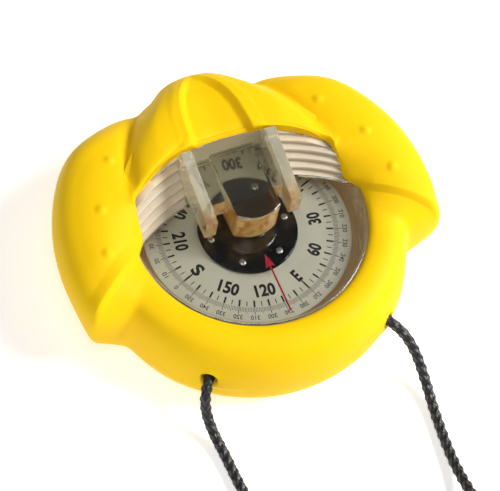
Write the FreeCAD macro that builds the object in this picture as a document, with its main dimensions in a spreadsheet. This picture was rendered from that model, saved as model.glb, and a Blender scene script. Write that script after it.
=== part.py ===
"""Handheld bearing compass: a liquid-filled capsule in a soft rubber guard, with a prism and a lanyard.

Frame: millimetres, +Z up, origin at the centre of the flat underside, +Y towards the sighting crest,
-Y towards the user, where the lubber arrow and the two lanyard holes are.
"""
import FreeCAD, Part
import math
import os
import re

import Sketcher

Vector = FreeCAD.Vector

SIZES = [
    ("card_radius", 25.0, "compass card, outside radius"),
    ("card_face", 13.0, "height of the printed face of the card"),
    ("card_thick", 0.8, "thickness of the card"),
    ("float_radius", 12.0, "black float in the middle of the card, outside radius"),
    ("float_rim", 0.9, "height of the float's rim above the card"),
    ("float_dome_radius", 5.2, "raised middle of the float, radius"),
    ("float_dome_top", 16.6, "height of the float's raised middle"),
    ("rivet_circle", 9.4, "radius of the circle of rivets in the float"),
    ("rivet_radius", 0.55, "rivet shank radius"),
    ("rivet_head", 0.85, "rivet head radius"),
    ("swing_centre", 14.2, "height of the point that the card swings about"),
    ("jewel_radius", 1.5, "jewel ball, outside radius"),
    ("swing_gap", 0.05, "running gap between the parts that swing on each other"),
    ("holder_radius", 2.6, "jewel holder, outside radius"),
    ("holder_bottom", 12.3, "height of the jewel holder's lower end"),
    ("holder_top", 16.0, "height of the jewel holder's upper end"),
    ("tip_radius", 0.3, "radius of the pivot pin's tip"),
    ("pin_radius", 0.5, "pivot pin, shank radius"),
    ("pin_bottom", 8.0, "height of the pivot pin's lower end"),
    ("pin_shoulder", 12.4, "height where the pivot pin starts to taper"),
    ("post_radius", 2.2, "pivot post, outside radius"),
    ("post_top", 10.8, "height of the pivot post's upper end"),
    ("post_thread", 1.4, "pivot post, threaded stub radius"),
    ("magnet_long", 13.0, "bar magnet, length"),
    ("magnet_wide", 3.0, "bar magnet, width"),
    ("magnet_tall", 1.8, "bar magnet, height"),
    ("magnet_offset", 5.6, "distance of a bar magnet's middle from the axis"),
    ("magnet_bottom", 9.4, "height of the magnets' underside"),
    ("bowl_radius", 30.7, "capsule bowl, outside radius"),
    ("bowl_bore", 27.5, "capsule bowl, inside radius"),
    ("bowl_bottom", 2.5, "height of the bowl's lower rim"),
    ("floor_bottom", 5.0, "height of the underside of the bowl's floor"),
    ("floor_top", 6.6, "height of the top of the bowl's floor"),
    ("bowl_top", 17.2, "height of the bowl's upper rim"),
    ("port_circle", 8.0, "radius of the circle of expansion ports"),
    ("port_radius", 1.4, "expansion port radius"),
    ("seal_radius", 29.1, "bowl seal, radius of its circle"),
    ("seal_section", 0.6, "bowl seal, radius of its section"),
    ("window_top", 19.0, "height of the clear window's upper face"),
    ("window_radius", 30.4, "clear window, outside radius"),
    ("ramp_front", 45.0, "radius of the ribbed reflector's front edge"),
    ("ramp_front_y", -34.7, "Y of the centre of the reflector's front edge"),
    ("ramp_back", 44.0, "radius of the ribbed reflector's last step"),
    ("ramp_back_y", -25.0, "Y of the centre of the reflector's last step"),
    ("ramp_lip", 16.8, "height of the reflector's lower lip"),
    ("ramp_top", 25.0, "height of the reflector's top step"),
    ("ramp_crown", 102.0, "radius that the reflector's top is crowned to"),
    ("prism_wide", 24.2, "prism, width over its side rails"),
    ("rail_wide", 2.9, "width of one side rail"),
    ("rail_front", -1.5, "Y of the side rails' front faces"),
    ("rail_back", 16.5, "Y of the prism's back face"),
    ("rail_low", 25.1, "height of the side rails at their front"),
    ("rail_high", 28.5, "height of the side rails where their tabs start"),
    ("tab_high", 29.2, "height of the tabs at the rails' back ends"),
    ("tab_long", 2.3, "length of those tabs"),
    ("block_wide", 11.0, "width of the prism's middle block"),
    ("block_high", 28.0, "height of the middle block"),
    ("ledge_front", 3.3, "Y of the front of the ledges beside the middle block"),
    ("ledge_low", 24.6, "height of those ledges at their front"),
    ("ledge_high", 27.2, "height of those ledges at their back"),
    ("lens_radius", 9.0, "radius of the prism's lens face"),
    ("lens_front", -4.9, "Y of the foremost point of the lens face"),
    ("arrow_tip", -9.4, "Y of the lubber arrow's tip"),
    ("arrow_tail", -24.8, "Y of the lubber arrow's tail"),
    ("arrow_thick", 0.15, "thickness of the lubber arrow"),
    ("diaphragm_radius", 16.2, "expansion diaphragm, outside radius"),
    ("diaphragm_thick", 0.8, "thickness of the diaphragm's rim"),
    ("ring_radius", 19.6, "diaphragm ring, outside radius"),
    ("ring_bore", 13.4, "diaphragm ring, inside radius"),
    ("ring_bottom", 2.9, "height of the diaphragm ring's underside"),
    ("ring_screw_circle", 18.0, "radius of the circle of diaphragm ring screws"),
    ("ring_screw_radius", 0.7, "diaphragm ring screw, shank radius"),
    ("ring_screw_head", 1.3, "diaphragm ring screw, head radius"),
    ("cover_radius", 23.6, "base cover, outside radius"),
    ("cover_bottom", 0.6, "height of the base cover's underside"),
    ("cover_top", 2.2, "height of the base cover's upper face"),
    ("cover_screw_circle", 21.9, "radius of the circle of base cover screws"),
    ("cover_screw_radius", 0.9, "base cover screw, shank radius"),
    ("cover_screw_head", 1.5, "base cover screw, head radius"),
    ("vent_radius", 1.2, "vent hole in the base cover"),
    ("plug_y", 24.6, "Y of the filler plug"),
    ("plug_radius", 1.1, "filler plug, shank radius"),
    ("plug_head", 1.9, "filler plug, head radius"),
    ("guard_bore", 31.0, "cavity of the rubber guard that holds the capsule"),
    ("guard_floor", 2.4, "thickness of the guard's lower flange"),
    ("guard_opening", 24.0, "opening in the guard's lower flange"),
    ("hole_radius", 1.7, "lanyard hole in the guard"),
    ("hole_height", 11.6, "height of the lanyard holes"),
    ("hole_angle", 54.6, "angle of the lanyard holes below the X axis"),
    ("pocket_radius", 3.3, "pocket behind a lanyard hole that holds the cord's knot"),
    ("pocket_at", 34.0, "distance of a knot pocket's centre from the axis"),
    ("knot_radius", 3.0, "stopper knot"),
    ("cord_radius", 1.35, "lanyard cord"),
]
RIVETS = 6
PORTS = 4
RING_SCREWS = 6
COVER_SCREWS = 4
RAMP_STEPS = 6

doc = FreeCAD.newDocument("bearing_compass")
sheet = doc.addObject("Spreadsheet::Sheet", "sizes")
for line, (alias, number, meaning) in enumerate(SIZES, 1):
    sheet.set(f"A{line}", meaning)
    sheet.set(f"B{line}", str(number))
    sheet.setAlias(f"B{line}", alias)
doc.recompute()
ALIASES = {alias for alias, _, _ in SIZES}
parts = []


def formula(text):
    """An expression on the sheet, from one that names its cells alone."""
    return re.sub(r"[a-z_]+", lambda word: "sizes." + word[0] if word[0] in ALIASES else word[0], text)


def value(text):
    """The number that an expression has now."""
    return float(sheet.evalExpression(text))


def bind(thing, where, text):
    """Ties a property to the sheet."""
    thing.setExpression(where, formula(text))


def keep(thing, node):
    """Marks an object as a finished sub-part, with the name of its node."""
    thing.Label = node
    parts.append(thing)
    return thing


def plane(body, name):
    """One of a body's own origin planes."""
    return next(feature for feature in body.Origin.OriginFeatures if feature.Role == name)


def drawn(sketch, outline):
    """Draws a closed outline of (across, up) expressions, each corner tied to the sheet."""
    corners = [Vector(value(across), value(up), 0) for across, up in outline]
    for i, corner in enumerate(corners):
        sketch.addGeometry(Part.LineSegment(corner, corners[(i + 1) % len(corners)]), False)
    for i in range(len(corners)):
        sketch.addConstraint(Sketcher.Constraint("Coincident", i, 2, (i + 1) % len(corners), 1))
    for i, (across, up) in enumerate(outline):
        for kind, text, letter in (("DistanceX", across, "x"), ("DistanceY", up, "y")):
            index = sketch.addConstraint(Sketcher.Constraint(kind, -1, 1, i, 1, value(text)))
            sketch.renameConstraint(index, f"{letter}{i}")
            bind(sketch, f"Constraints.{letter}{i}", text)


def turned(node, outline):
    """A body turned about the Z axis from an outline of (radius, height) expressions."""
    body = doc.addObject("PartDesign::Body", node)
    sketch = body.newObject("Sketcher::SketchObject", node + "_outline")
    sketch.AttachmentSupport = [(plane(body, "XZ_Plane"), "")]
    sketch.MapMode = "FlatFace"
    drawn(sketch, outline)
    turn = body.newObject("PartDesign::Revolution", node + "_turn")
    turn.Profile = sketch
    turn.ReferenceAxis = (sketch, ["V_Axis"])
    turn.Angle = 360
    doc.recompute()
    return keep(body, node)


def extruded(node, outline, level, long):
    """A body drawn on one of the origin planes and padded by an expression's length."""
    body = doc.addObject("PartDesign::Body", node)
    sketch = body.newObject("Sketcher::SketchObject", node + "_outline")
    sketch.AttachmentSupport = [(plane(body, level), "")]
    sketch.MapMode = "FlatFace"
    drawn(sketch, outline)
    pad = body.newObject("PartDesign::Pad", node + "_pad")
    pad.Profile = sketch
    pad.SideType = "Symmetric"
    bind(pad, "Length", long)
    doc.recompute()
    return body


def drilled(body, name, radius, circle, count):
    """Holes right through a body, in a circle about the Z axis."""
    sketch = body.newObject("Sketcher::SketchObject", name + "_circle")
    sketch.AttachmentSupport = [(plane(body, "XY_Plane"), "")]
    sketch.MapMode = "FlatFace"
    centre = Vector(value(circle), 0, 0)
    sketch.addGeometry(Part.Circle(centre, Vector(0, 0, 1), value(radius)), False)
    ties = (
        ("across", Sketcher.Constraint("DistanceX", -1, 1, 0, 3, value(circle)), circle),
        ("up", Sketcher.Constraint("DistanceY", -1, 1, 0, 3, 0.0), "0"),
        ("size", Sketcher.Constraint("Radius", 0, value(radius)), radius),
    )
    for label, constraint, text in ties:
        index = sketch.addConstraint(constraint)
        sketch.renameConstraint(index, label)
        if text != "0":
            bind(sketch, "Constraints." + label, text)
    pocket = body.newObject("PartDesign::Pocket", name)
    pocket.Profile = sketch
    pocket.Type = "ThroughAll"
    pocket.Reversed = True
    doc.recompute()
    if count > 1:
        pattern = body.newObject("PartDesign::PolarPattern", name + "_pattern")
        pattern.Originals = [pocket]
        pattern.Axis = (sketch, ["N_Axis"])
        pattern.Angle = 360
        pattern.Occurrences = count
        body.Tip = pattern
    doc.recompute()
    return body


def cylinder(name, radius, low, high, x="0", y="0"):
    """An upright cylinder between two heights."""
    made = doc.addObject("Part::Cylinder", name)
    bind(made, "Radius", radius)
    bind(made, "Height", f"({high}) - ({low})")
    for axis, text in (("x", x), ("y", y), ("z", low)):
        bind(made, "Placement.Base." + axis, text)
    return made


def cone(name, low_radius, high_radius, low, high, x="0", y="0"):
    """An upright cone between two heights."""
    made = doc.addObject("Part::Cone", name)
    bind(made, "Radius1", low_radius)
    bind(made, "Radius2", high_radius)
    bind(made, "Height", f"({high}) - ({low})")
    for axis, text in (("x", x), ("y", y), ("z", low)):
        bind(made, "Placement.Base." + axis, text)
    return made


def ball(name, radius, high, x="0", y="0"):
    """A sphere at a height."""
    made = doc.addObject("Part::Sphere", name)
    bind(made, "Radius", radius)
    for axis, text in (("x", x), ("y", y), ("z", high)):
        bind(made, "Placement.Base." + axis, text)
    return made


def box(name, x, y, z):
    """A box from three pairs of expressions, its low and high sides."""
    made = doc.addObject("Part::Box", name)
    for side, axis, (low, high) in (("Length", "x", x), ("Width", "y", y), ("Height", "z", z)):
        bind(made, side, f"({high}) - ({low})")
        bind(made, "Placement.Base." + axis, low)
    return made


def joined(name, pieces):
    """Several objects as one."""
    made = doc.addObject("Part::MultiFuse", name)
    made.Shapes = pieces
    return made


def without(name, base, tool):
    """One object less another."""
    made = doc.addObject("Part::Cut", name)
    made.Base = base
    made.Tool = tool
    return made


def shared(name, pieces):
    """What several objects have in common."""
    made = doc.addObject("Part::MultiCommon", name)
    made.Shapes = pieces
    return made


def grouped(name, pieces):
    """Separate solids in one object."""
    made = doc.addObject("Part::Compound", name)
    made.Links = pieces
    return made


def around(circle, count, turn=0.0):
    """The X and Y expressions of points in a circle."""
    angles = [turn + 360.0 * i / count for i in range(count)]
    return [(f"({circle}) * cos({a} deg)", f"({circle}) * sin({a} deg)") for a in angles]


def float_piece():
    """The black float in the middle of the card, bored for the jewel holder."""
    bore = "holder_radius + swing_gap"
    rim = "card_face + float_rim"
    return turned("card_float", [
        (bore, "holder_bottom"), ("float_dome_radius", "holder_bottom"),
        ("float_dome_radius", "card_face - card_thick"), ("float_dome_radius", "card_face"),
        ("float_radius", "card_face"), ("float_radius", rim), ("float_dome_radius + 1.2", rim),
        ("float_dome_radius - 1", "float_dome_top"), ("0", "float_dome_top"),
        ("0", "holder_top + swing_gap"), (bore, "holder_top + swing_gap")])


def card_pieces():
    """The card, its float, rivets and magnets: everything that turns to the north."""
    card = turned("compass_card", [
        ("float_dome_radius", "card_face - card_thick"), ("card_radius", "card_face - card_thick"),
        ("card_radius", "card_face"), ("float_dome_radius", "card_face")])
    drilled(card, "rivet_holes", "rivet_radius", "rivet_circle", RIVETS)
    drilled(float_piece(), "float_rivet_holes", "rivet_radius", "rivet_circle", RIVETS)
    rivets = []
    rim = "card_face + float_rim"
    for i, (x, y) in enumerate(around("rivet_circle", RIVETS)):
        shank = cylinder(f"rivet_shank_{i}", "rivet_radius", "card_face - card_thick", rim, x, y)
        head = cylinder(f"rivet_head_{i}", "rivet_head", rim, rim + " + 0.3", x, y)
        rivets.append(joined(f"rivet_{i}", [shank, head]))
    keep(grouped("float_rivets", rivets), "float_rivets")
    half = "0.5 * magnet_long"
    top = "magnet_bottom + magnet_tall"
    inner = "magnet_offset - 0.5 * magnet_wide"
    outer = "magnet_offset + 0.5 * magnet_wide"
    for side, x in (("left", (f"-({outer})", f"-({inner})")), ("right", (inner, outer))):
        bar = box(f"magnet_{side}", x, (f"-({half})", half), ("magnet_bottom", top))
        keep(bar, f"magnet_{side}")
    carrier = turned("magnet_carrier", [
        ("holder_radius + 0.4", top), (outer + " + 0.6", top),
        (outer + " + 0.6", "card_face - card_thick"), ("float_dome_radius", "card_face - card_thick"),
        ("float_dome_radius", "holder_bottom"), ("holder_radius + 0.4", "holder_bottom")])
    drilled(carrier, "flow_holes", "0.6", "magnet_offset", 4)


def swing_pieces():
    """The jewel and its holder, each a ball joint about the tip of the pivot pin."""
    ball_body = ball("jewel_ball", "jewel_radius", "swing_centre")
    cup = ball("jewel_cup", "tip_radius + swing_gap", "swing_centre")
    mouth = cone("jewel_mouth", "2", "0", "swing_centre - 1.7", "swing_centre + 0.3")
    jewel = without("jewel", ball_body, joined("jewel_hollow", [cup, mouth]))
    keep(jewel, "jewel_bearing")
    block = cylinder("holder_block", "holder_radius", "holder_bottom", "holder_top")
    seat = ball("holder_seat", "jewel_radius + swing_gap", "swing_centre")
    throat = cone("holder_throat", "swing_centre - holder_bottom", "0", "holder_bottom", "swing_centre")
    keep(without("holder", block, joined("holder_hollow", [seat, throat])), "jewel_holder")


def pivot_pieces():
    """The fixed post and the hardened pin that the card hangs on."""
    keep(without("post", joined("post_solid", [
        cylinder("post_body", "post_radius", "floor_top", "post_top"),
        cylinder("post_stub", "post_thread", "floor_bottom + 0.2", "floor_top")]),
        cylinder("post_bore", "pin_radius", "pin_bottom", "post_top + 1")), "pivot_post")
    shank = cylinder("pin_shank", "pin_radius", "pin_bottom", "pin_shoulder")
    taper = cone("pin_taper", "pin_radius", "tip_radius", "pin_shoulder", "swing_centre")
    tip = ball("pin_tip", "tip_radius", "swing_centre")
    keep(joined("pin", [shank, taper, tip]), "pivot_pin")


def bowl_pieces():
    """The capsule's bowl with its pivot bore, expansion ports, screw bosses and seal."""
    groove_low = "bowl_top - 2 * seal_section"
    bowl = turned("bowl_shell", [
        ("post_thread", "floor_bottom"), ("bowl_bore", "floor_bottom"), ("bowl_bore", "bowl_bottom"),
        ("bowl_radius", "bowl_bottom"), ("bowl_radius", "bowl_top"),
        ("seal_radius + seal_section", "bowl_top"), ("seal_radius + seal_section", groove_low),
        ("seal_radius - seal_section", groove_low), ("seal_radius - seal_section", "bowl_top"),
        ("bowl_bore", "bowl_top"), ("bowl_bore", "floor_top"), ("post_thread", "floor_top")])
    parts.remove(bowl)
    drilled(bowl, "ports", "port_radius", "port_circle", PORTS)
    drilled(bowl, "ring_screw_holes", "ring_screw_radius", "ring_screw_circle", RING_SCREWS)
    bosses = [cylinder(f"boss_{i}", "cover_screw_radius + 1", "cover_top", "floor_bottom + 0.2", x, y)
              for i, (x, y) in enumerate(around("cover_screw_circle", COVER_SCREWS, 45))]
    holes = [cylinder(f"boss_hole_{i}", "cover_screw_radius", "cover_top - 1", "floor_bottom", x, y)
             for i, (x, y) in enumerate(around("cover_screw_circle", COVER_SCREWS, 45))]
    holes.append(cylinder("plug_hole", "plug_radius", "floor_bottom - 1", "floor_top + 1", y="plug_y"))
    solid = joined("bowl_solid", [bowl] + bosses)
    keep(without("bowl", solid, joined("bowl_holes", holes)), "capsule_bowl")
    seal = doc.addObject("Part::Torus", "seal")
    bind(seal, "Radius1", "seal_radius")
    bind(seal, "Radius2", "seal_section")
    bind(seal, "Placement.Base.z", "bowl_top - seal_section")
    keep(seal, "bowl_seal")


def underside_pieces():
    """The expansion diaphragm with its ring, the filler plug and the base cover."""
    rim = "floor_bottom - diaphragm_thick"
    turned("expansion_diaphragm", [
        ("0", "ring_bottom + 0.4"), ("9.5", "ring_bottom + 0.4"), ("11.8", rim),
        ("diaphragm_radius", rim), ("diaphragm_radius", "floor_bottom"), ("11.2", "floor_bottom"),
        ("8.9", "ring_bottom + 1.2"), ("0", "ring_bottom + 1.2")])
    ring = turned("diaphragm_ring", [
        ("ring_bore", "ring_bottom"), ("ring_radius", "ring_bottom"), ("ring_radius", "floor_bottom"),
        ("diaphragm_radius", "floor_bottom"), ("diaphragm_radius", rim), ("ring_bore", rim)])
    drilled(ring, "ring_holes", "ring_screw_radius", "ring_screw_circle", RING_SCREWS)
    screws = []
    for i, (x, y) in enumerate(around("ring_screw_circle", RING_SCREWS)):
        shank = cylinder(f"ring_shank_{i}", "ring_screw_radius", "ring_bottom", "floor_top - 0.2", x, y)
        head = cylinder(f"ring_head_{i}", "ring_screw_head", "ring_bottom - 0.5", "ring_bottom", x, y)
        screws.append(joined(f"ring_screw_{i}", [shank, head]))
    keep(grouped("diaphragm_screws", screws), "diaphragm_screws")
    shank = cylinder("plug_shank", "plug_radius", "floor_bottom - 0.5", "floor_top - 0.1", y="plug_y")
    head = cylinder("plug_cap", "plug_head", "floor_bottom - 1.5", "floor_bottom - 0.5", y="plug_y")
    slot = box("plug_slot", ("-2.5", "2.5"), ("plug_y - 0.25", "plug_y + 0.25"),
               ("floor_bottom - 2", "floor_bottom - 1.1"))
    keep(without("plug", joined("plug_solid", [shank, head]), slot), "filler_plug")
    washer = cylinder("washer", "plug_head", "floor_bottom - 0.5", "floor_bottom", y="plug_y")
    eye = cylinder("washer_eye", "plug_radius", "floor_bottom - 1", "floor_bottom + 1", y="plug_y")
    keep(without("washer_ring", washer, eye), "filler_washer")
    cover = turned("cover_disc", [
        ("0", "cover_bottom"), ("cover_radius", "cover_bottom"), ("cover_radius", "cover_top"),
        ("0", "cover_top")])
    parts.remove(cover)
    points = around("cover_screw_circle", COVER_SCREWS, 45)
    holes = [cylinder("vent", "vent_radius", "0", "cover_top + 1")]
    screws = []
    sunk = "cover_bottom + cover_screw_head - cover_screw_radius"
    for i, (x, y) in enumerate(points):
        holes.append(cylinder(f"cover_hole_{i}", "cover_screw_radius", "0", "cover_top + 1", x, y))
        holes.append(cone(f"cover_sink_{i}", "cover_screw_head", "cover_screw_radius",
                          "cover_bottom", sunk, x, y))
        shank = cylinder(f"cover_shank_{i}", "cover_screw_radius", sunk, "floor_bottom - 0.2", x, y)
        head = cone(f"cover_head_{i}", "cover_screw_head", "cover_screw_radius",
                    "cover_bottom", sunk, x, y)
        cross = grouped(f"cross_{i}", [
            box(f"cross_a_{i}", (f"{x} - 0.9", f"{x} + 0.9"), (f"{y} - 0.15", f"{y} + 0.15"),
                ("0", "cover_bottom + 0.35")),
            box(f"cross_b_{i}", (f"{x} - 0.15", f"{x} + 0.15"), (f"{y} - 0.9", f"{y} + 0.9"),
                ("0", "cover_bottom + 0.35"))])
        screws.append(without(f"cover_screw_{i}", joined(f"cover_bolt_{i}", [shank, head]), cross))
    keep(without("cover", cover, joined("cover_holes", holes)), "base_cover")
    keep(grouped("base_cover_screws", screws), "base_cover_screws")


def behind_arc(name, radius, centre_y, low, high):
    """A block of everything behind an arc that bulges towards +Y."""
    block = box(name + "_block", ("-40", "40"), ("-6", "40"), (low, high))
    front = cylinder(name + "_front", radius, f"({low}) - 1", f"({high}) + 1", y=centre_y)
    return without(name, block, front)


def ramp_solid(name, grow):
    """The ribbed reflector's block: steps that climb towards the crest, cut to the capsule's round."""
    steps = []
    rise = "(ramp_top - bowl_top) / " + str(RAMP_STEPS)
    for i in range(RAMP_STEPS):
        share = f"{i}/{RAMP_STEPS - 1}"
        radius = f"ramp_front + (ramp_back - ramp_front) * {share} - {grow}"
        centre = f"ramp_front_y + (ramp_back_y - ramp_front_y) * {share}"
        steps.append(behind_arc(f"{name}_step_{i}", radius, centre, "bowl_top",
                                f"bowl_top + {rise} * {i + 1} + {grow}"))
    lip = behind_arc(name + "_lip", "ramp_front", "ramp_front_y", "ramp_lip", "bowl_top")
    lip_back = behind_arc(name + "_lip_back", "ramp_front", "ramp_front_y + 1.3", "0", "bowl_top + 1")
    steps.append(without(name + "_lip_strip", lip, lip_back))
    stair = joined(name + "_stair", steps)
    back = cylinder(name + "_back", f"ramp_back + 3 + {grow}", "ramp_lip - 1", "ramp_top + 3",
                    y="ramp_back_y")
    round_wall = cylinder(name + "_round", f"window_radius + {grow}", "bowl_top", "ramp_top + 3")
    inner = cylinder(name + "_inner", "bowl_bore - 0.2", "ramp_lip - 1", "bowl_top")
    crown = doc.addObject("Part::Cylinder", name + "_crown")
    bind(crown, "Radius", f"ramp_crown + {grow}")
    crown.Height = 120
    crown.Placement = FreeCAD.Placement(Vector(0, 0, 0), FreeCAD.Rotation(Vector(1, 0, 0), -90))
    bind(crown, "Placement.Base.y", "-60")
    bind(crown, "Placement.Base.z", "ramp_top + 0.6 - ramp_crown")
    limits = joined(name + "_limits", [round_wall, inner])
    return shared(name, [stair, back, limits, crown])


def window_pieces():
    """The clear window, the ribbed reflector behind it and the lubber arrow under it."""
    keep_out = behind_arc("window_back", "ramp_front", "ramp_front_y", "bowl_top - 1", "window_top + 1")
    seat = "0.5 * prism_wide + 0.15"
    seat_box = ("bowl_top - 2", "ramp_top + 4")
    bed = box("prism_bed", (f"-({seat})", seat), ("-10", "rail_back + 0.15"), seat_box)
    disc = cylinder("window_disc", "window_radius", "bowl_top", "window_top")
    keep(without("window", disc, without("window_cut", keep_out, bed)), "capsule_window")
    bed_again = box("ramp_bed", (f"-({seat})", seat), ("-10", "rail_back + 0.15"), seat_box)
    keep(without("ramp", ramp_solid("ramp_block", "0"), bed_again), "ribbed_reflector")
    low = "bowl_top - arrow_thick"
    stem = box("arrow_stem", ("-0.22", "0.22"), ("arrow_tail", "arrow_tip - 2.5"), (low, "bowl_top"))
    head = doc.addObject("Part::Wedge", "arrow_head")
    for name, text in (("Xmin", "-1.4"), ("Xmax", "1.4"), ("X2min", "0"), ("X2max", "0"),
                       ("Ymin", "0"), ("Ymax", "3.6"), ("Zmin", "0"), ("Zmax", "arrow_thick"),
                       ("Z2min", "0"), ("Z2max", "arrow_thick")):
        bind(head, name, text)
    bind(head, "Placement.Base.y", "arrow_tip - 3.6")
    bind(head, "Placement.Base.z", low)
    keep(joined("arrow", [stem, head]), "lubber_arrow")


def prism_piece():
    """One clear moulding: a block with a lens face, between two ledges and two side rails."""
    seat = "window_top"
    inner = "prism_wide - 2 * rail_wide"
    rails = without("side_rails", extruded("rails", [
        ("rail_front", seat), ("rail_back", seat), ("rail_back", "tab_high"),
        ("rail_back - tab_long", "tab_high"), ("rail_back - tab_long - 0.2", "rail_high"),
        ("rail_front", "rail_low")], "YZ_Plane", "prism_wide"),
        box("rail_gap", (f"-0.5 * ({inner})", f"0.5 * ({inner})"), ("-20", "30"), (seat, "tab_high + 1")))
    ledges = extruded("ledges", [
        ("ledge_front", seat), ("rail_back - 0.3", seat), ("rail_back - 0.3", "ledge_high"),
        ("ledge_front", "ledge_low")], "YZ_Plane", inner)
    half = ("-0.5 * block_wide", "0.5 * block_wide")
    block = box("block", half, ("lens_front - 1", "rail_back - 0.3"), (seat, "block_high"))
    nose = joined("nose", [
        cylinder("lens", "lens_radius", seat, "block_high", y="lens_front + lens_radius"),
        box("behind_lens", half, ("lens_front + lens_radius", "rail_back"), (seat, "block_high"))])
    keep(joined("prism_solid", [rails, ledges, shared("nosed_block", [block, nose])]), "prism")


# The guard's skin is one B-spline surface. Each key is a half-plane through the Z axis, with the
# angle of its column, the height of its inner edge, and (radius, height) points from the inner edge
# over the top, down the outside and under the base. The left side mirrors the right one.
RING = [(31.0, 20.7), (33.6, 20.5), (35.8, 19.5), (37.5, 17.3), (38.7, 14.4), (39.4, 11.0),
        (39.6, 7.0), (39.1, 3.0), (37.4, 0.0), (36.0, 0.0)]
GUARD_KEYS = [
    (-90.0, 19.6, RING),
    (-40.0, 19.6, RING),
    (-21.5, 19.8, [(31.0, 20.7), (33.6, 20.6), (35.8, 19.7), (37.2, 17.3), (37.9, 14.4), (38.2, 11.0),
                   (38.2, 7.0), (38.0, 3.0), (37.2, 0.0), (36.0, 0.0)]),
    (-10.3, 20.0, [(30.4, 21.9), (33.8, 23.2), (37.8, 23.4), (42.2, 22.4), (45.8, 19.9), (46.8, 15.2),
                   (46.6, 10.2), (44.4, 4.8), (37.6, 0.0), (36.0, 0.0)]),
    (0.0, 21.0, [(30.2, 23.5), (35.2, 25.0), (39.8, 24.4), (43.8, 22.4), (46.1, 18.8), (46.4, 14.0),
                 (45.2, 9.2), (41.8, 4.8), (37.3, 0.0), (36.0, 0.0)]),
    (17.0, 23.2, [(30.0, 24.8), (34.6, 25.7), (39.8, 25.2), (44.0, 23.2), (46.2, 19.4), (46.6, 14.2),
                  (45.0, 9.4), (41.0, 5.0), (37.3, 0.0), (36.0, 0.0)]),
    (34.0, 24.6, [(29.6, 24.6), (33.8, 24.8), (39.2, 24.4), (43.8, 22.6), (46.1, 18.8), (46.4, 13.8),
                  (45.0, 9.0), (40.6, 4.6), (37.3, 0.0), (36.0, 0.0)]),
    (46.0, 24.9, [(29.4, 24.2), (33.0, 23.8), (36.8, 23.0), (40.2, 20.6), (42.2, 17.2), (43.0, 13.2),
                  (42.2, 8.8), (39.8, 4.4), (37.3, 0.0), (36.0, 0.0)]),
    (53.8, 25.2, [(29.0, 24.0), (32.0, 23.0), (34.9, 21.8), (37.4, 19.8), (39.2, 16.8), (40.0, 12.6),
                  (39.8, 8.0), (38.8, 3.4), (37.2, 0.0), (36.0, 0.0)]),
    (62.0, 26.2, [(25.4, 26.8), (29.6, 26.0), (33.0, 24.6), (36.4, 22.6), (38.8, 19.8), (39.8, 14.8),
                  (39.4, 8.5), (38.4, 3.4), (37.2, 0.0), (36.0, 0.0)]),
    (72.0, 26.9, [(24.0, 27.8), (29.0, 27.4), (33.2, 26.4), (37.4, 24.4), (40.4, 20.8), (40.8, 15.0),
                  (40.0, 8.5), (38.6, 3.4), (37.2, 0.0), (36.0, 0.0)]),
    (81.5, 26.8, [(23.0, 27.8), (28.0, 27.6), (33.6, 26.8), (38.0, 24.7), (40.7, 20.9), (40.6, 15.0),
                  (40.2, 8.5), (38.6, 3.4), (37.2, 0.0), (36.0, 0.0)]),
    (90.0, 26.0, [(23.0, 26.8), (28.0, 26.5), (33.6, 26.1), (38.2, 24.7), (40.7, 20.8), (40.5, 15.0),
                  (40.4, 8.5), (38.6, 3.4), (37.2, 0.0), (36.0, 0.0)]),
]
GUARD_COLUMNS = [-90, -82, -74, -66, -58, -50, -42, -35, -29, -25, -21.5, -18, -15, -12, -10.3, -8, -4, 0, 5,
                 11, 17, 24, 29, 34, 40, 46, 50, 53.8, 58, 62, 67, 72, 75, 78, 80, 81.5, 83, 85, 87.5, 90]
OPENING = 28.0  # radius of the round opening over the card
GRIP_NOTCH = (27.0, 0.5)  # where a grip's end face meets the opening, seen from above
GRIP_CORNER = (42.7, -11.7)  # where that end face meets the outside
GRIP_INSIDE = (25.6, 1.5)  # lower end of the grip's straight inner edge
GRIP_SIDE = (24.6, 13.2)  # upper end of that edge, where it meets the crest
CREST_EDGE = (44.0, -25.0)  # radius and centre Y of the crest's inner edge
VALLEY_TURN = 4.0  # degrees that the valley between grip and crest turns with each millimetre out
LIP_TURN = 1.0  # the same, for the lips beside the crest's scoop
INNER_LOW = 14.0  # the skin's inner wall ends here, inside the cavity


def smooth(share):
    """0 to 1 with level ends."""
    share = min(1.0, max(0.0, share))
    return share * share * (3 - 2 * share)


def grip_end(radius):
    """The angle at which a grip's end crease crosses a circle."""
    (x0, y0), (x1, y1) = GRIP_NOTCH, GRIP_CORNER
    long = math.hypot(x1 - x0, y1 - y0)
    ux, uy = (x1 - x0) / long, (y1 - y0) / long
    along = x0 * ux + y0 * uy
    step = -along + math.sqrt(max(0.0, along ** 2 - x0 ** 2 - y0 ** 2 + radius ** 2))
    return math.degrees(math.atan2(y0 + uy * step, x0 + ux * step))


def valley(radius):
    """The angle of the valley between grip and crest on a circle."""
    start = math.degrees(math.atan2(GRIP_SIDE[1], GRIP_SIDE[0]))
    return min(68.0, start + VALLEY_TURN * max(0.0, radius - math.hypot(*GRIP_SIDE)))


def column_angle(column, radius):
    """The true angle of a net point: columns lean to follow the end crease and the valley."""
    end, dip = grip_end(36.0), 53.8
    near_end = smooth((column + 65) / (end + 65)) * smooth((25 - column) / (25 - end))
    near_dip = smooth((column - 12) / (dip - 12)) * smooth((90 - column) / (90 - dip))
    near_lip = smooth((column - dip) / (83 - dip)) * smooth((90 - column) / (90 - 83))
    lean = (grip_end(radius) - end) * near_end + (valley(radius) - dip) * near_dip
    return column + lean - LIP_TURN * max(0.0, 37.0 - radius) * near_lip


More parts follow.
